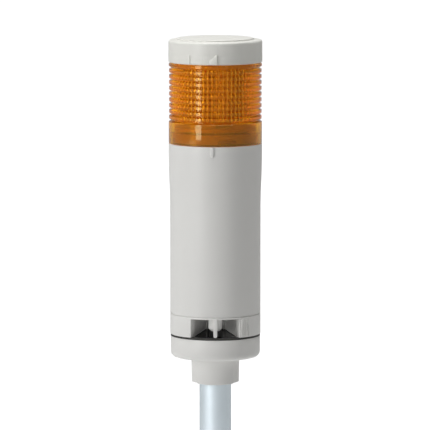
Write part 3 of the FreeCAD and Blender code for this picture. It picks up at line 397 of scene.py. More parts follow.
# %% Amber plastic
amber_plastic = finish(
    "amber_plastic",
    (0.97, 0.43, 0.012),
    0.05,
    0.01,
    0.02,
    Transmission_Weight=0.80,
    IOR=1.49,
    Specular_IOR_Level=0.36,
    Specular_Tint=(1, 0.88, 0.5, 1),
)
led_resin = finish("led_resin", (0.75, 0.55, 0.12), 0.2, 0.1, 0.05)

# %% [markdown]
# Where the skirt overlaps the tube's spigot, the colour is painted darker: painted shade that stands in
# for the shaded spigot seen through two walls. Height decides where, so the painted shade is faded in along
# Z.

# %% Painted shade on the skirt
SKIRT_SHADE_FULL = lens_bottom + 6
SKIRT_SHADE_END = lens_bottom + 14
SKIRT_SHADE_TINT = (0.72, 0.76, 0.42, 1)
WHITE = (1, 1, 1, 1)


def paint_shade_below(material, below, above, tint):
    """Painted shade: multiplies the colour by a tint below one level, fading out towards the other."""
    tree = material.node_tree
    base = tree.nodes["Principled BSDF"].inputs["Base Color"]
    place = tree.nodes.new("ShaderNodeTexCoord").outputs["Object"]
    height = add_node(tree, "ShaderNodeSeparateXYZ", Vector=place).outputs["Z"]
    fade = add_node(tree, "ShaderNodeMapRange", Value=height)
    fade.inputs["From Min"].default_value = below * MM
    fade.inputs["From Max"].default_value = above * MM
    # The painted shade: the tint below the level, fading to white above it.
    depth = colour_mix(tree, tint, WHITE, fade.outputs["Result"])
    tree.links.new(colour_mix(tree, base.links[0].from_socket, depth, 1, "MULTIPLY"), base)


# Painted shade on the skirt, where it overlaps the spigot.
paint_shade_below(amber_plastic, SKIRT_SHADE_FULL, SKIRT_SHADE_END, SKIRT_SHADE_TINT)
print("skirt deepened below", round(SKIRT_SHADE_END, 1), "mm")

# %% [markdown]
# A refracting shell stops lamp light, because a shadow ray can't bend. The light column behind it
# would stay black. So shadow rays and diffuse rays see a plain tinted pane instead of the shader.

# %% Light through the lens
PANE_TINT = (0.82, 0.49, 0.10, 1)


def shader_mix(tree, first, second, factor):
    """Puts the mix of two shaders on the material's output."""
    mix = add_node(tree, "ShaderNodeMixShader", Fac=factor)
    tree.links.new(first.outputs[0], mix.inputs[1])
    tree.links.new(second.outputs[0], mix.inputs[2])
    tree.links.new(mix.outputs[0], tree.nodes["Material Output"].inputs["Surface"])


def pass_light(material, tint):
    """Lets lamp light and diffuse light through unbent, so that what lies behind is lit."""
    tree = material.node_tree
    ray = tree.nodes.new("ShaderNodeLightPath").outputs
    unbent = math_node(tree, "MAXIMUM", ray["Is Shadow Ray"], ray["Is Diffuse Ray"])
    pane = add_node(tree, "ShaderNodeBsdfTransparent", Color=tint)
    shader_mix(tree, tree.nodes["Principled BSDF"], pane, unbent)


pass_light(amber_plastic, PANE_TINT)
print("lamp light passes:", amber_plastic.name)

# %% [markdown]
# ## Stage
# A pale floor, soft lamps and a long lens, as in a catalogue studio. The backdrop is white where it
# is looked at: straight from the camera, or through the clear lens. A gloss mirrors it dimmer, so
# that edges don't wash out, and for all other rays it is nearly dark. So it adds hardly any light
# to the object, and the lamps alone shape it.

# %% White where it is seen
AMBIENT = 0.045
SEEN_WHITE = {"Is Camera Ray": 1.0, "Is Transmission Ray": 1.0, "Is Glossy Ray": 0.42}


def seen_white(tree):
    """How white a ray sees the backdrop: fully, dimmer in a gloss, and 0 if it only lights."""
    ray = tree.nodes.new("ShaderNodeLightPath").outputs
    white = 0.0
    for kind, strength in SEEN_WHITE.items():
        part = math_node(tree, "MULTIPLY", ray[kind], strength)
        white = math_node(tree, "MAXIMUM", part, white)
    return white


print("the backdrop is seen by:", ", ".join(SEEN_WHITE))

# %% Sky
world = bpy.data.worlds.new("studio")
world.use_nodes = True
bpy.context.scene.world = world
sky = world.node_tree
sky.nodes["Background"].inputs["Color"].default_value = WHITE
sky_strength = math_node(sky, "MAXIMUM", seen_white(sky), AMBIENT)
sky.links.new(sky_strength, sky.nodes["Background"].inputs["Strength"])
print("sky:", AMBIENT, "as light")

# %% [markdown]
# ### Floor
# The floor is pale paint that glows, least near the tower and fully further out. The glow makes it
# as white as the sky where it is looked at, and the paint under the glow still takes the tower's
# shadow. Its underside is clear, so the tower can also be looked at from below.

# %% Floor glow
GLOW_NEAR = 0.45
GLOW_FAR = 1.0
GLOW_REACH = 1.6
BOUNCE = 0.07


def floor_glow(tree):
    """The floor's glow: it grows with the distance from the tower, and a little always lights."""
    place = tree.nodes.new("ShaderNodeTexCoord").outputs["Object"]
    away = tree.nodes.new("ShaderNodeVectorMath")
    away.operation = "LENGTH"
    tree.links.new(place, away.inputs[0])
    glow = add_node(tree, "ShaderNodeMapRange", Value=away.outputs["Value"])
    glow.inputs["From Max"].default_value = GLOW_REACH
    glow.inputs["To Min"].default_value = GLOW_NEAR
    glow.inputs["To Max"].default_value = GLOW_FAR
    shown = math_node(tree, "MULTIPLY", seen_white(tree), glow.outputs["Result"])
    return math_node(tree, "MAXIMUM", shown, BOUNCE)


print("floor glow reaches full white at", GLOW_REACH, "m")

# %% Floor
FLOOR_HALF = 6000
FLOOR_PAINT = (0.8, 0.8, 0.8, 1)


def make_floor_paint():
    """Matt paint with the glow on top, and clear from below."""
    material = bpy.data.materials.new("floor_paint")
    material.use_nodes = True
    tree = material.node_tree
    paint = tree.nodes["Principled BSDF"]
    paint.inputs["Base Color"].default_value = FLOOR_PAINT
    paint.inputs["Roughness"].default_value = 0.9
    paint.inputs["Emission Color"].default_value = WHITE
    tree.links.new(floor_glow(tree), paint.inputs["Emission Strength"])
    below = tree.nodes.new("ShaderNodeNewGeometry").outputs["Backfacing"]
    shader_mix(tree, paint, tree.nodes.new("ShaderNodeBsdfTransparent"), below)
    return material


floor_corners = [(-1, -1), (1, -1), (1, 1), (-1, 1)]
floor = finished_mesh(
    "floor", [(x * FLOOR_HALF, y * FLOOR_HALF, 0) for x, y in floor_corners], [(0, 1, 2, 3)]
)
floor.data.materials.append(make_floor_paint())
print("floor:", 2 * FLOOR_HALF * MM, "m wide")

# %% [markdown]
# ### Lamps
# Four soft boxes. The key stands well to the left, so that the round body shades from light to grey
# across its width. A highlight would fall in the wrong place with it, so the key has no gloss, and
# a second box beside it, the glint, has nothing else. A weak warm lamp lifts the far right edge,
# and a wide one above lights the cap's disc and the floor.

# %% Lamps
LAMP_DISTANCE = 1.4
LAMP_AIM = 0.2
TOP_AIM = 0.3
WARM = (1, 0.93, 0.8)


def add_lamp(name, azimuth, elevation, width, height, power, aim=LAMP_AIM):
    """A soft box on a sphere round the tower; azimuth 0 is the front, 90 the right."""
    lamp = bpy.data.lights.new(name, "AREA")
    lamp.shape = "RECTANGLE"
    lamp.size = width
    lamp.size_y = height
    lamp.energy = power
    holder = placed(name, lamp)
    a, e = radians(azimuth), radians(elevation)
    away = Vector((sin(a) * cos(e), -cos(a) * cos(e), sin(e)))
    holder.location = Vector((0, 0, aim)) + away * LAMP_DISTANCE
    holder.rotation_euler = (-away).to_track_quat("-Z", "Y").to_euler()
    print("lamp:", name, power, "W")
    return holder


key = add_lamp("key", azimuth=-60, elevation=9, width=0.42, height=1.1, power=8.9)
key.visible_glossy = False
glint = add_lamp("glint", azimuth=-42, elevation=9, width=0.36, height=0.9, power=8.0)
glint.visible_diffuse = False
glint.visible_transmission = False
edge = add_lamp("edge", azimuth=112, elevation=10, width=0.5, height=0.5, power=0.35)
edge.data.color = WARM
add_lamp("top", azimuth=-20, elevation=86, width=1.2, height=1.2, power=22, aim=TOP_AIM)

# %% [markdown]
# ### Camera
# The camera stands nearly three metres away with a very long lens, and looks down by a few degrees.
# So the rings curve only slightly, and the cap's disc just shows. The pole's lower end lies below
# its view.

# %% Camera
CAMERA_DISTANCE = 2.84
CAMERA_ELEVATION = 6.39
CAMERA_SHIFT = -0.0002
AIM_HEIGHT = 0.2112
FOCAL_LENGTH = 398.4
SENSOR_WIDTH = 36

camera_data = bpy.data.cameras.new("camera")
camera_data.lens = FOCAL_LENGTH
camera_data.sensor_width = SENSOR_WIDTH
camera_data.clip_end = 50
camera = placed("camera", camera_data)
tilt = radians(CAMERA_ELEVATION)
camera_height = AIM_HEIGHT + CAMERA_DISTANCE * sin(tilt)
camera.location = (CAMERA_SHIFT, -CAMERA_DISTANCE * cos(tilt), camera_height)
camera.rotation_euler = (pi / 2 - tilt, 0, 0)
bpy.context.scene.camera = camera
bpy.context.scene.view_settings.view_transform = "Standard"
print("camera:", round(degrees(2 * atan(SENSOR_WIDTH / 2 / FOCAL_LENGTH)), 2), "degrees wide")

# %% [markdown]
# ## Dressing a piece
# Every new piece rides on the body of the CAD node that it stands for, takes the finish it is given,
# and hides that node. One function does all of that, so no piece can be forgotten.

# %% Dress helper
SLOT_OF = {part["node"]: part["material_slot"] for part in frame["record"]["subparts"]}
BODY_OF = {
    node: body for body, members in frame["record"]["behaviour"]["bodies"].items() for node in members
}


def dress(piece, material, *stands_for):
    """Gives the piece its finish, and puts it in place of CAD nodes."""
    piece.data.materials.clear()
    piece.data.materials.append(material)
    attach(piece, BODY_OF[stands_for[0]])
    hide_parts(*stands_for)
    print("piece:", piece.name, len(piece.data.polygons), "faces for", ", ".join(stands_for))


# %% [markdown]
# ## Bayonet lugs
# Lens and cap are put on with a short twist. Three lugs on a spigot slide behind three tabs of the
# piece that it reaches into. They sit at the same turns on all levels, so one function lays every
# set.

# %% Lug helper
LUG_TURNS = (16, 136, 256)
LUG_HALF_ANGLE = 12
LUG_HEIGHT = 1.7
LUG_INSET = 1.0


def lugs(name, inner, outer, bottom, rounding):
    """Three short blocks round the axis, from a lower level up."""
    blocks = [
        ring_block(f"{name}_{turn}", inner, outer, bottom, bottom + LUG_HEIGHT, turn, LUG_HALF_ANGLE)
        for turn in LUG_TURNS
    ]
    return [soften(block, rounding) for block in blocks]


print("lugs at", LUG_TURNS, "degrees")

# %% [markdown]
# ## Top cap
# A shallow moulded lid with a raised disc. Its lower band stands a hair proud of the rest, its
# shoulder is round, and inside it a short spigot with three lugs reaches into the lens. Its outline
# is drawn once and spun, with a rounding for each corner.

# %% Cap shell
CAP_WALL = 2.4
SHOULDER_LEVEL = cap_peak - 0.9
SHOULDER_ROUNDING = 1.5
CEILING = SHOULDER_LEVEL - CAP_WALL
BAND_TOP = cap_bottom + 5.0
BAND_SLOPE = 0.5
BAND_STEP = 0.06
DISC_RADIUS = 23.0
CAP_SPIGOT_RADIUS = 22.6
CAP_SPIGOT_BORE = CAP_SPIGOT_RADIUS - 1.8
CAP_SPIGOT_BOTTOM = box_mm("top_cap")[0].z

cap_outline = rounded(
    [
        (0, cap_peak),
        (0, CEILING),
        (CAP_SPIGOT_BORE, CEILING, 0.5),
        (CAP_SPIGOT_BORE, CAP_SPIGOT_BOTTOM, 0.3),
        (CAP_SPIGOT_RADIUS, CAP_SPIGOT_BOTTOM, 0.5),
        (CAP_SPIGOT_RADIUS, CEILING, 0.5),
        (cap_radius - CAP_WALL, CEILING, 0.5),
        (cap_radius - CAP_WALL, cap_bottom, 0.2),
        (cap_radius, cap_bottom, 0.35),
        (cap_radius, BAND_TOP, 0.3),
        (cap_radius - BAND_STEP, BAND_TOP + BAND_SLOPE, 0.3),
        (cap_radius - BAND_STEP, SHOULDER_LEVEL, SHOULDER_ROUNDING),
        (DISC_RADIUS, SHOULDER_LEVEL, 0.25),
        (DISC_RADIUS, cap_peak, 0.35),
    ]
)
cap_shell = lathe("cap_shell", cap_outline)
print("cap:", round(cap_peak - cap_bottom, 1), "mm high")

# %% [markdown]
# ### Twist marks
# Two raised marks tell how the cap turns. One is a thin upright rib. The other is a ramp, which
# rises out of the skin from left to right and ends in a step. Both are small blocks that reach
# into the shell, so no gap can open behind them.

# %% Twist marks
MARK_LEVEL = cap_bottom + 0.2
RIB_ANGLE = -32.8
RIB_HALF = 0.35
RIB_FACE = cap_radius + 0.55
RIB_FOOT = cap_radius - 1.0
RIB_TOP = cap_bottom + 5.6
RAMP_LEFT = -3.6
RAMP_RIGHT = 1.0
RAMP_LOW_FACE = cap_radius - 0.2
RAMP_HIGH_FACE = cap_radius + 0.85
RAMP_FOOT = cap_radius - 1.1
RAMP_LOW_TOP = cap_bottom + 2.5
RAMP_HIGH_TOP = cap_bottom + 5.9


def make_rib():
    """The thin upright rib, turned to its place on the left."""
    sides = [(-RIB_HALF, -RIB_FACE), (RIB_HALF, -RIB_FACE), (RIB_HALF, -RIB_FOOT), (-RIB_HALF, -RIB_FOOT)]
    rib = prism("rib_mark", sides, MARK_LEVEL, RIB_TOP)
    rib.data.transform(Matrix.Rotation(radians(RIB_ANGLE), 4, "Z"))
    return soften(rib, 0.15)


def make_ramp():
    """A wedge whose face and top edge both rise towards the right."""
    face = [
        (RAMP_LEFT, -RAMP_LOW_FACE, MARK_LEVEL),
        (RAMP_RIGHT, -RAMP_HIGH_FACE, MARK_LEVEL),
        (RAMP_RIGHT, -RAMP_HIGH_FACE, RAMP_HIGH_TOP),
        (RAMP_LEFT, -RAMP_LOW_FACE, RAMP_LOW_TOP),
    ]
    foot = [(x, -RAMP_FOOT, z) for x, y, z in face]
    sides = [(i, (i + 1) % 4, (i + 1) % 4 + 4, i + 4) for i in range(4)]
    return soften(finished_mesh("ramp_mark", face + foot, [(0, 1, 2, 3), (4, 5, 6, 7), *sides]), 0.12)


CAP_LUG_INNER = 21.7
CAP_LUG_OUTER = 23.3
CAP_LUG_BOTTOM = CAP_SPIGOT_BOTTOM + 0.7
cap_lugs = lugs("cap_lug", CAP_LUG_INNER, CAP_LUG_OUTER, CAP_LUG_BOTTOM, 0.2)
dress(join("cap_shell", [cap_shell, make_rib(), make_ramp(), *cap_lugs]), cap_plastic, "top_cap")

# %% [markdown]
# ## Body
# A straight tube that widens by less than a millimetre towards the lens. The widening is an S: it
# leaves the straight part and joins the top one without a corner. Two parabolas do that, and they
# are sampled finely enough to shade smoothly. A fine recess at its foot makes the seam to the sound
# ring. A spigot with three lugs stands on the deck and shows through the lens.

# %% Body shell
BODY_RADIUS = 27.0
BODY_BORE = 24.6
SEAM_DEPTH = 0.6
SEAM_HEIGHT = 0.5
SEAM_SLOPE = 0.1
FLARE_END = body_top - 6.0
FLARE_LENGTH = 34.0
FLARE_STEPS = 24
SPIGOT_RADIUS = 24.1
SPIGOT_BORE = SPIGOT_RADIUS - 1.8
DECK_UNDERSIDE = body_top - 2.4


def flare(step):
    """A point of the S between the straight tube and its wider top."""
    part = step / FLARE_STEPS
    rise = 2 * part**2 if part < 0.5 else 1 - 2 * (1 - part) ** 2
    return BODY_RADIUS + (lens_radius - BODY_RADIUS) * rise, FLARE_END - FLARE_LENGTH * (1 - part)


body_outline = rounded(
    [
        (BODY_BORE, body_bottom),
        (BODY_RADIUS - SEAM_DEPTH, body_bottom),
        (BODY_RADIUS - SEAM_DEPTH, body_bottom + SEAM_HEIGHT),
        (BODY_RADIUS, body_bottom + SEAM_HEIGHT + SEAM_SLOPE, 0.1),
        *[flare(step) for step in range(FLARE_STEPS + 1)],
        (lens_radius, body_top, 0.3),
        (SPIGOT_RADIUS, body_top, 0.2),
        (SPIGOT_RADIUS, spigot_top, 0.5),
        (SPIGOT_BORE, spigot_top, 0.4),
        (SPIGOT_BORE, body_top, 0.3),
        (0, body_top),
        (0, DECK_UNDERSIDE),
        (BODY_BORE, DECK_UNDERSIDE),
    ]
)
body_shell = lathe("body_shell", body_outline)
print("body:", round(body_top - body_bottom, 1), "mm long")

# %% [markdown]
# ### Alignment bar
# Below the lens a short raised bar with a round lower end shows where the lens is put on. It is
# drawn flat, stood up against the tube, and well rounded.

# %% Alignment bar
BAR_LEFT = -2.85
BAR_RIGHT = -0.75
BAR_TOP = body_top - 0.15
BAR_LENGTH = 6.2
BAR_FOOT = 26.5
BAR_FACE = lens_radius + 0.75
BAR_STEPS = 12


def make_bar():
    """The bar's outline, pushed out along the front."""
    half = (BAR_RIGHT - BAR_LEFT) / 2
    middle = (BAR_LEFT + BAR_RIGHT) / 2
    low = body_top - BAR_LENGTH + half
    turns = [pi + pi * step / BAR_STEPS for step in range(BAR_STEPS + 1)]
    round_end = [(middle + half * cos(turn), low + half * sin(turn)) for turn in turns]
    bar = prism("body_mark", [(BAR_RIGHT, BAR_TOP), (BAR_LEFT, BAR_TOP), *round_end], BAR_FOOT, BAR_FACE)
    bar.data.transform(Matrix.Rotation(pi / 2, 4, "X"))
    return soften(bar, 0.6, 4)


BODY_LUG_INNER = 23.2
BODY_LUG_OUTER = 25.3
body_lug_bottom = spigot_top - LUG_INSET - LUG_HEIGHT
body_lugs = lugs("body_lug", BODY_LUG_INNER, BODY_LUG_OUTER, body_lug_bottom, 0.2)
dress(join("body_shell", [body_shell, make_bar(), *body_lugs]), white_plastic, "body_tube")

# %% [markdown]
# ## Copies of CAD pieces
# The sound ring and the foot have windows, jambs, bosses and recesses that the CAD model already
# holds exactly. Building them a second time would only add mistakes. Instead their meshes are
# copied, the loose triangles are merged, flat areas become single faces, and a small bevel rounds
# the sharp edges.

# %% Copy helper
SAME_CAD_POINT = 2e-6
FLAT_ANGLE = 0.6
COPY_SHARP = 34


def softened_copy(node, name, width):
    """A merged copy of a CAD node with its edges rounded."""
    shell = bmesh.new()
    shell.from_mesh(nodes[node].data)
    bmesh.ops.remove_doubles(shell, verts=shell.verts, dist=SAME_CAD_POINT)
    flat = radians(FLAT_ANGLE)
    bmesh.ops.dissolve_limit(shell, angle_limit=flat, verts=shell.verts, edges=shell.edges)
    mesh = bpy.data.meshes.new(name)
    shell.to_mesh(mesh)
    shell.free()
    for attribute in ("custom_normal", "sharp_edge", "sharp_face"):
        if attribute in mesh.attributes:
            mesh.attributes.remove(mesh.attributes[attribute])
    mesh.shade_smooth()
    return soften(placed(name, mesh), width, angle=COPY_SHARP)


dress(softened_copy("sound_ring", "sound_ring_shell", 0.15), white_plastic, "sound_ring")
dress(softened_copy("base_cap", "foot_shell", 0.2), white_plastic, "base_cap")

# %% [markdown]
# ## Pole, seal and deflector
# The pole and the seal are turned. The pole's cut end is rounded a little by deburring, and the
# rubber seal bulges where it is squeezed. The deflector is a flat cone with holes, polished like a
# mirror, and is one more softened copy.

# %% Pole
TENON_RADIUS = 9.3
POLE_BORE = 8.0
POLE_STEPS = 160
pole_outline = rounded(
    [
        (POLE_BORE, pole_end, 0.3),
        (pole_radius, pole_end, 0.4),
        (pole_radius, lip_bottom, 0.05),
        (TENON_RADIUS, lip_bottom),
        (TENON_RADIUS, tenon_top, 0.2),
        (POLE_BORE, tenon_top, 0.2),
    ]
)
dress(lathe("pole_tube", pole_outline, POLE_STEPS), satin_aluminium, "pole")

# %% Seal and deflector
SEAL_RADIUS = box_mm("base_seal")[1].x
SEAL_BORE = SEAL_RADIUS - 3.1
SEAL_BULGE = 0.35
seal_outline = rounded(
    [
        (SEAL_BORE, foot_top),
        (SEAL_RADIUS, foot_top, SEAL_BULGE),
        (SEAL_RADIUS, ring_bottom, SEAL_BULGE),
        (SEAL_BORE, ring_bottom),
    ]
)
dress(lathe("seal_ring", seal_outline), seal_rubber, "base_seal")
dress(softened_copy("sound_deflector", "deflector_cone", 0.1), black_gloss, "sound_deflector")

# %% [markdown]
# ## Lens
# The lens follows a rule: rings at one pitch outside, upright flutes at one angle inside. That is
# work for Geometry Nodes. A plain thick tube goes in; the tree reads where each vertex lies and
# moves it inwards by the rule. Change the number of flutes or the depth of a groove, and the lens
# follows. The tube has enough rows to each ring and columns to each flute for both to come out
# smooth.

# %% Sizes of the lens
RING_PITCH = 3.46
GROOVE_COUNT = 10
GROOVE_DEPTH = 2.2
FIRST_GROOVE = body_top + 13.95
LAST_GROOVE = FIRST_GROOVE + (GROOVE_COUNT - 1) * RING_PITCH
ROWS_PER_RING = 14
FLUTE_COUNT = 60
FLUTE_DEPTH = 0.85
FLUTE_BOTTOM = body_top + 15.0
FLUTE_TOP = lens_top - 3.1
COLUMNS_PER_FLUTE = 8
LENS_BORE = 24.4
SKIRT_BORE = 25.6
SKIRT_STEP = spigot_top + TURN_GAP
SKIRT_TOP = FIRST_GROOVE - 1.1
CREST_RADIUS = lens_radius - 0.2
NECK_TOP = lens_top - 2.5
FLANGE_BOTTOM = lens_top - 1.9
FLANGE_TOP = lens_top - 0.8
TOP_RECESS = 0.5
HAIR = 0.01
print("lens:", GROOVE_COUNT, "grooves,", FLUTE_COUNT, "flutes")

# %% [markdown]
# ### The plain tube
# The outside carries the rows that the grooves will bend. The bore has a pair of rows a hair apart
# at each end of the flutes, so they start and end with a clean step.

# %% Plain lens tube
row_step = RING_PITCH / ROWS_PER_RING
row_count = round((LAST_GROOVE - FIRST_GROOVE) / row_step) + ROWS_PER_RING // 2
lowest_row = FIRST_GROOVE - RING_PITCH / 4
ring_rows = [(CREST_RADIUS, lowest_row + row_step * row) for row in range(row_count)]
lens_outline = rounded(
    [
        (SKIRT_BORE, lens_bottom, 0.2),
        (lens_radius, lens_bottom, 0.25),
        (lens_radius, SKIRT_TOP, 0.2),
        *ring_rows,
        (CREST_RADIUS, NECK_TOP, 0.2),
        (lens_radius, FLANGE_BOTTOM, 0.2),
        (lens_radius, FLANGE_TOP, 0.15),
        (lens_radius - TOP_RECESS, FLANGE_TOP + 0.1),
        (lens_radius - TOP_RECESS, lens_top, 0.1),
        (LENS_BORE, lens_top, 0.25),
        (LENS_BORE, FLUTE_TOP + HAIR),
        (LENS_BORE, FLUTE_TOP),
        (LENS_BORE, (FLUTE_TOP + FLUTE_BOTTOM) / 2),
        (LENS_BORE, FLUTE_BOTTOM),
        (LENS_BORE, FLUTE_BOTTOM - HAIR),
        (LENS_BORE, SKIRT_STEP, 0.1),
        (SKIRT_BORE, SKIRT_STEP, 0.3),
    ]
)
lens_columns = COLUMNS_PER_FLUTE * FLUTE_COUNT
lens_tube = lathe("lens_shell", lens_outline, lens_columns)
print("lens tube:", len(lens_outline), "rows of", lens_columns)

# %% [markdown]
# ### Building a tree
# Small helpers keep a tree readable, and its inputs carry the sizes by name. A tree ends in real
# geometry with its material set. It is run as a modifier, whose inputs are known by identifier, and
# the result is kept as a plain mesh.

# %% Geometry node helpers


def new_tree(name, **sizes):
    """A geometry node tree with one geometry input and named float inputs."""
    tree = bpy.data.node_groups.new(name, "GeometryNodeTree")
    tree.interface.new_socket("Geometry", in_out="INPUT", socket_type="NodeSocketGeometry")
    for size, value in sizes.items():
        socket = tree.interface.new_socket(size, in_out="INPUT", socket_type="NodeSocketFloat")
        socket.default_value = value
    tree.interface.new_socket("Geometry", in_out="OUTPUT", socket_type="NodeSocketGeometry")
    return tree, tree.nodes.new("NodeGroupInput").outputs, tree.nodes.new("NodeGroupOutput").inputs


def end_tree(tree, geometry, output, material):
    """Every tree ends in real geometry with its material set."""
    real = add_node(tree, "GeometryNodeRealizeInstances", Geometry=geometry)
    painted = add_node(
        tree, "GeometryNodeSetMaterial", Geometry=real.outputs[0], Material=material
    )
    tree.links.new(painted.outputs[0], output["Geometry"])


def run_tree(piece, tree, **sizes):
    """Runs a tree on a piece, with its inputs set by identifier, and keeps the plain mesh."""
    modifier = piece.modifiers.new(tree.name, "NODES")
    modifier.node_group = tree
    names = {item.name: item.identifier for item in tree.interface.items_tree if item.in_out == "INPUT"}
    for size, value in sizes.items():
        modifier[names[size]] = float(value)
    return applied(piece)


# %% [markdown]
# ### Grooves and flutes
# The depth of a groove falls off as a smooth step with the distance to its middle, and repeats with
# every pitch. A flute is a smooth wave of the angle. Each counts only in its own band of height and
# on its own side of the wall, and both together say how far a vertex moves towards the axis.

# %% Groove rule
WALL_MIDDLE = (LENS_BORE + CREST_RADIUS) / 2
GROOVE_REACH = 0.25
BAND_MARGIN = 0.45


def between(tree, value, low, high):
    """1 where a value lies between two others, and 0 elsewhere."""
    over = math_node(tree, "GREATER_THAN", value, low)
    under = math_node(tree, "LESS_THAN", value, high)
    return math_node(tree, "MULTIPLY", over, under)


def groove_sink(tree, size, height, radius):
    """How deep the grooves cut at a height, on the outside only."""
    climb = math_node(tree, "SUBTRACT", height, size["First"])
    turns = math_node(tree, "ADD", math_node(tree, "DIVIDE", climb, size["Pitch"]), 0.5)
    offset = math_node(tree, "SUBTRACT", math_node(tree, "FRACT", turns), 0.5)
    dip = add_node(tree, "ShaderNodeMapRange", Value=math_node(tree, "ABSOLUTE", offset))
    dip.interpolation_type = "SMOOTHSTEP"
    dip.inputs["From Max"].default_value = GROOVE_REACH
    dip.inputs["To Min"].default_value = 1.0
    dip.inputs["To Max"].default_value = 0.0
    margin = math_node(tree, "MULTIPLY", size["Pitch"], BAND_MARGIN)
    low = math_node(tree, "SUBTRACT", size["First"], margin)
    high = math_node(tree, "ADD", size["Last"], margin)
    outside = math_node(tree, "GREATER_THAN", radius, WALL_MIDDLE * MM)
    here = math_node(tree, "MULTIPLY", between(tree, height, low, high), outside)
    depth = math_node(tree, "MULTIPLY", dip.outputs[0], size["Groove"])
    return math_node(tree, "MULTIPLY", depth, here)


print("groove:", round(2 * GROOVE_REACH * RING_PITCH, 2), "mm wide")

# %% Flute rule
ON_LEVEL = 1e-6


def flute_rise(tree, size, height, radius, parts):
    """How far the flutes stand into the bore at an angle, on the inside only."""
    angle = math_node(tree, "ARCTAN2", parts["Y"], parts["X"])
    wave = math_node(tree, "COSINE", math_node(tree, "MULTIPLY", angle, size["Flutes"]))
    hump = math_node(tree, "MULTIPLY", math_node(tree, "ADD", wave, 1.0), 0.5)
    low = math_node(tree, "SUBTRACT", size["Low"], ON_LEVEL)
    high = math_node(tree, "ADD", size["High"], ON_LEVEL)
    inside = math_node(tree, "LESS_THAN", radius, WALL_MIDDLE * MM)
    here = math_node(tree, "MULTIPLY", between(tree, height, low, high), inside)
    depth = math_node(tree, "MULTIPLY", hump, size["Flute"])
    return math_node(tree, "MULTIPLY", depth, here)


print("flute:", round(2 * pi * LENS_BORE / FLUTE_COUNT, 2), "mm wide")

# %% Lens tree


def make_lens_rule():
    """The tree that moves every vertex towards the axis by the two rules."""
    tree, size, output = new_tree(
        "lens_rule", Pitch=0, First=0, Last=0, Groove=0, Flutes=0, Flute=0, Low=0, High=0
    )
    place = tree.nodes.new("GeometryNodeInputPosition").outputs[0]
    parts = add_node(tree, "ShaderNodeSeparateXYZ", Vector=place).outputs
    flat = add_node(tree, "ShaderNodeCombineXYZ", X=parts["X"], Y=parts["Y"]).outputs[0]
    spoke = tree.nodes.new("ShaderNodeVectorMath")
    spoke.operation = "NORMALIZE"
    tree.links.new(flat, spoke.inputs[0])
    reach = tree.nodes.new("ShaderNodeVectorMath")
    reach.operation = "LENGTH"
    tree.links.new(flat, reach.inputs[0])
    radius = reach.outputs["Value"]
    sink = groove_sink(tree, size, parts["Z"], radius)
    rise = flute_rise(tree, size, parts["Z"], radius, parts)
    shift = tree.nodes.new("ShaderNodeVectorMath")
    shift.operation = "SCALE"
    tree.links.new(spoke.outputs[0], shift.inputs[0])
    inward = math_node(tree, "MULTIPLY", math_node(tree, "ADD", sink, rise), -1.0)
    tree.links.new(inward, shift.inputs["Scale"])
    moved = add_node(
        tree, "GeometryNodeSetPosition", Geometry=size["Geometry"], Offset=shift.outputs[0]
    )
    end_tree(tree, moved.outputs[0], output, amber_plastic)
    return tree


# %% Amber lens
run_tree(
    lens_tube,
    make_lens_rule(),
    Pitch=RING_PITCH * MM,
    First=FIRST_GROOVE * MM,
    Last=LAST_GROOVE * MM,
    Groove=GROOVE_DEPTH * MM,
    Flutes=FLUTE_COUNT,
    Flute=FLUTE_DEPTH * MM,
    Low=FLUTE_BOTTOM * MM,
    High=FLUTE_TOP * MM,
)
lens_tube.data.shade_smooth()
TAB_OUTER = 26.0
tab_bottom = body_lug_bottom - TURN_GAP - LUG_HEIGHT
lens_tabs = lugs("lens_tab", LENS_BORE, TAB_OUTER, tab_bottom, 0.15)
dress(join("lens_shell", [lens_tube, *lens_tabs]), amber_plastic, "amber_lens")

# %% [markdown]
# ## Repeated pieces
# The light comes from rows of small diodes on four boards, and four cross-head screws close the
# foot. Each is drawn once. A second tree sets the copies: it lays one point for each, works out
# the row and the side from the point's number, and turns the piece to face outwards.

# %% Repeat rule


def round_rows(name, material):
    """A tree that repeats its piece in rows, on sides spaced round the tower's axis."""
    tree, size, output = new_tree(name, Rows=1, Sides=1, Pitch=0, Low=0, Reach=0, Turn=0)
    total = math_node(tree, "MULTIPLY", size["Rows"], size["Sides"])
    points = add_node(tree, "GeometryNodeMeshLine")
    tree.links.new(total, points.inputs["Count"])
    index = tree.nodes.new("GeometryNodeInputIndex").outputs[0]
    row = math_node(tree, "MODULO", index, size["Rows"])
    side = math_node(tree, "FLOOR", math_node(tree, "DIVIDE", index, size["Rows"]))
    spacing = math_node(tree, "DIVIDE", 2 * pi, size["Sides"])
    angle = math_node(tree, "ADD", math_node(tree, "MULTIPLY", side, spacing), size["Turn"])
    across = math_node(tree, "MULTIPLY", math_node(tree, "COSINE", angle), size["Reach"])
    deep = math_node(tree, "MULTIPLY", math_node(tree, "SINE", angle), size["Reach"])
    height = math_node(tree, "ADD", math_node(tree, "MULTIPLY", row, size["Pitch"]), size["Low"])
    place = add_node(tree, "ShaderNodeCombineXYZ", X=across, Y=deep, Z=height)
    facing = add_node(tree, "ShaderNodeCombineXYZ", Z=angle)
    laid = add_node(
        tree, "GeometryNodeSetPosition", Geometry=points.outputs[0], Position=place.outputs[0]
    )
    copies = add_node(
        tree,
        "GeometryNodeInstanceOnPoints",
        Points=laid.outputs[0],
        Instance=size["Geometry"],
        Rotation=facing.outputs[0],
    )
    end_tree(tree, copies.outputs[0], output, material)
    return tree


# %% [markdown]
# ### Diodes
# A diode is a square package with a clear dome on it. It is drawn lying flat and tipped over, so
# that the tree can turn it to each of the four sides. The rows are counted from the CAD node.

# %% One diode
LED_SIDE = 3.4
LED_HEIGHT = 1.4
PACKAGE_HEIGHT = 0.8
DOME_RADIUS = 1.45
DOME_LEVEL = LED_HEIGHT / 2
DOME_STEPS = 6
DOME_COLUMNS = 24


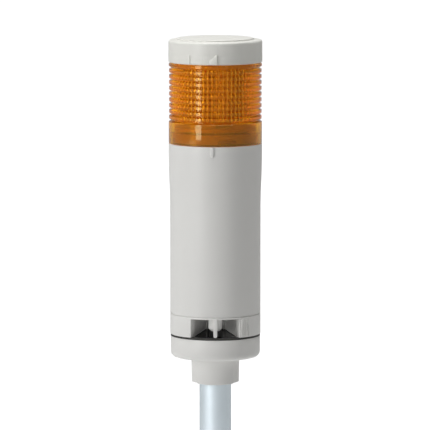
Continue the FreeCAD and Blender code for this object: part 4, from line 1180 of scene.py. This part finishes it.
def make_diode():
    """A package and its dome, with the dome pointing along X."""
    half = LED_SIDE / 2
    corners = [(half, half), (-half, half), (-half, -half), (half, -half)]
    package = soften(prism("package", corners, 0, PACKAGE_HEIGHT), 0.15)
    turns = [pi / 2 * step / DOME_STEPS for step in range(DOME_STEPS)]
    curve = [(DOME_RADIUS * cos(turn), DOME_LEVEL + DOME_LEVEL * sin(turn)) for turn in turns]
    dome = lathe("dome", [(0, DOME_LEVEL), *curve, (0, LED_HEIGHT)], DOME_COLUMNS)
    diode = join("diode_domes", [package, dome])
    diode.data.transform(Matrix.Rotation(pi / 2, 4, "Y"))
    return diode


# %% Diodes on the boards
LED_PITCH = 5.4
LED_SIDES = 4
LED_TURN = radians(45)
led_low, led_high = box_mm("leds")
led_rows = round((led_high.z - led_low.z - LED_SIDE) / LED_PITCH) + 1
led_face = (led_high.x - LED_SIDE / 2 * sin(LED_TURN)) / cos(LED_TURN)
diodes = run_tree(
    make_diode(),
    round_rows("diode_rows", led_resin),
    Rows=led_rows,
    Sides=LED_SIDES,
    Pitch=LED_PITCH * MM,
    Low=(led_low.z + LED_SIDE / 2) * MM,
    Reach=(led_face - LED_HEIGHT) * MM,
    Turn=LED_TURN,
)
dress(diodes, led_resin, "leds")

# %% [markdown]
# ### Screws
# The foot's screws have pan heads with a cross recess, which is cut by a Boolean with a cross of
# twelve corners. Seen from above they stand at the corners of an oblong, so two opposite corners
# make one run of the tree, and the other two make a second.

# %% One cross-head screw
HEAD_RADIUS = 2.75
HEAD_HEIGHT = 2.0
SHANK_RADIUS = 1.5
CROSS_ARM = 1.5
CROSS_HALF_SLOT = 0.3
CROSS_START = -0.5
CROSS_DEPTH = 1.2
SCREW_COLUMNS = 48
screw_low, screw_high = box_mm("base_screws")
shank_top = screw_high.z - screw_low.z


def make_cross():
    """The block that cuts the recess, starting a little below the head."""
    arm, slot = CROSS_ARM, CROSS_HALF_SLOT
    cross = [(arm, slot), (slot, slot), (slot, arm), (-slot, arm), (-slot, slot), (-arm, slot)]
    return prism("cross", cross + [(-x, -y) for x, y in cross], CROSS_START, CROSS_DEPTH)


def make_screw(name):
    """A pan head at level 0 with a cross recess, and its shank pointing up."""
    corners = [
        (0, 0),
        (HEAD_RADIUS, 0, 0.8),
        (HEAD_RADIUS, HEAD_HEIGHT, 0.1),
        (SHANK_RADIUS, HEAD_HEIGHT, 0.1),
        (SHANK_RADIUS, shank_top, 0.3),
        (0, shank_top),
    ]
    screw = lathe(name, rounded(corners, 4), SCREW_COLUMNS)
    cutter = make_cross()
    recess = screw.modifiers.new("recess", "BOOLEAN")
    recess.object = cutter
    recess.solver = "EXACT"
    applied(screw)
    bpy.data.objects.remove(cutter)
    return screw


# %% Screws in the foot
SCREW_TURN = radians(30)
screw_reach = (screw_high.x - HEAD_RADIUS) / cos(SCREW_TURN)
screw_rows = round_rows("screw_rows", zinc_steel)
screw_pairs = [
    run_tree(
        make_screw(f"screw_pair_{index}"),
        screw_rows,
        Rows=1,
        Sides=2,
        Low=screw_low.z * MM,
        Reach=screw_reach * MM,
        Turn=turn,
    )
    for index, turn in enumerate((SCREW_TURN, -SCREW_TURN))
]
dress(join("foot_screws", screw_pairs), zinc_steel, "base_screws")

# %% [markdown]
# ## Pieces that keep their CAD mesh
# What is left is flat or hidden: boards, blocks, cans, contacts, seals. Their CAD meshes are right
# as they are, so each only gets the finish of its material slot. The hidden solids behind the new
# pieces get theirs in the same loop.

# %% Finishes for the other nodes
FINISH_OF = {
    "white_plastic": white_plastic,
    "amber_clear": amber_plastic,
    "aluminium_satin": satin_aluminium,
    "black_rubber": seal_rubber,
    "black_gloss": black_gloss,
    "black_matt": black_matt,
    "green_plastic": green_plastic,
    "orange_plastic": orange_plastic,
    "zinc_steel": zinc_steel,
    "green_laminate": green_laminate,
    "white_laminate": white_laminate,
    "can_aluminium": can_aluminium,
    "contact_brass": contact_brass,
    "led_yellow": led_resin,
}
for node, cad_piece in nodes.items():
    cad_piece.material_slots[0].material = FINISH_OF[SLOT_OF[node]]
print("finished CAD nodes:", len(nodes))
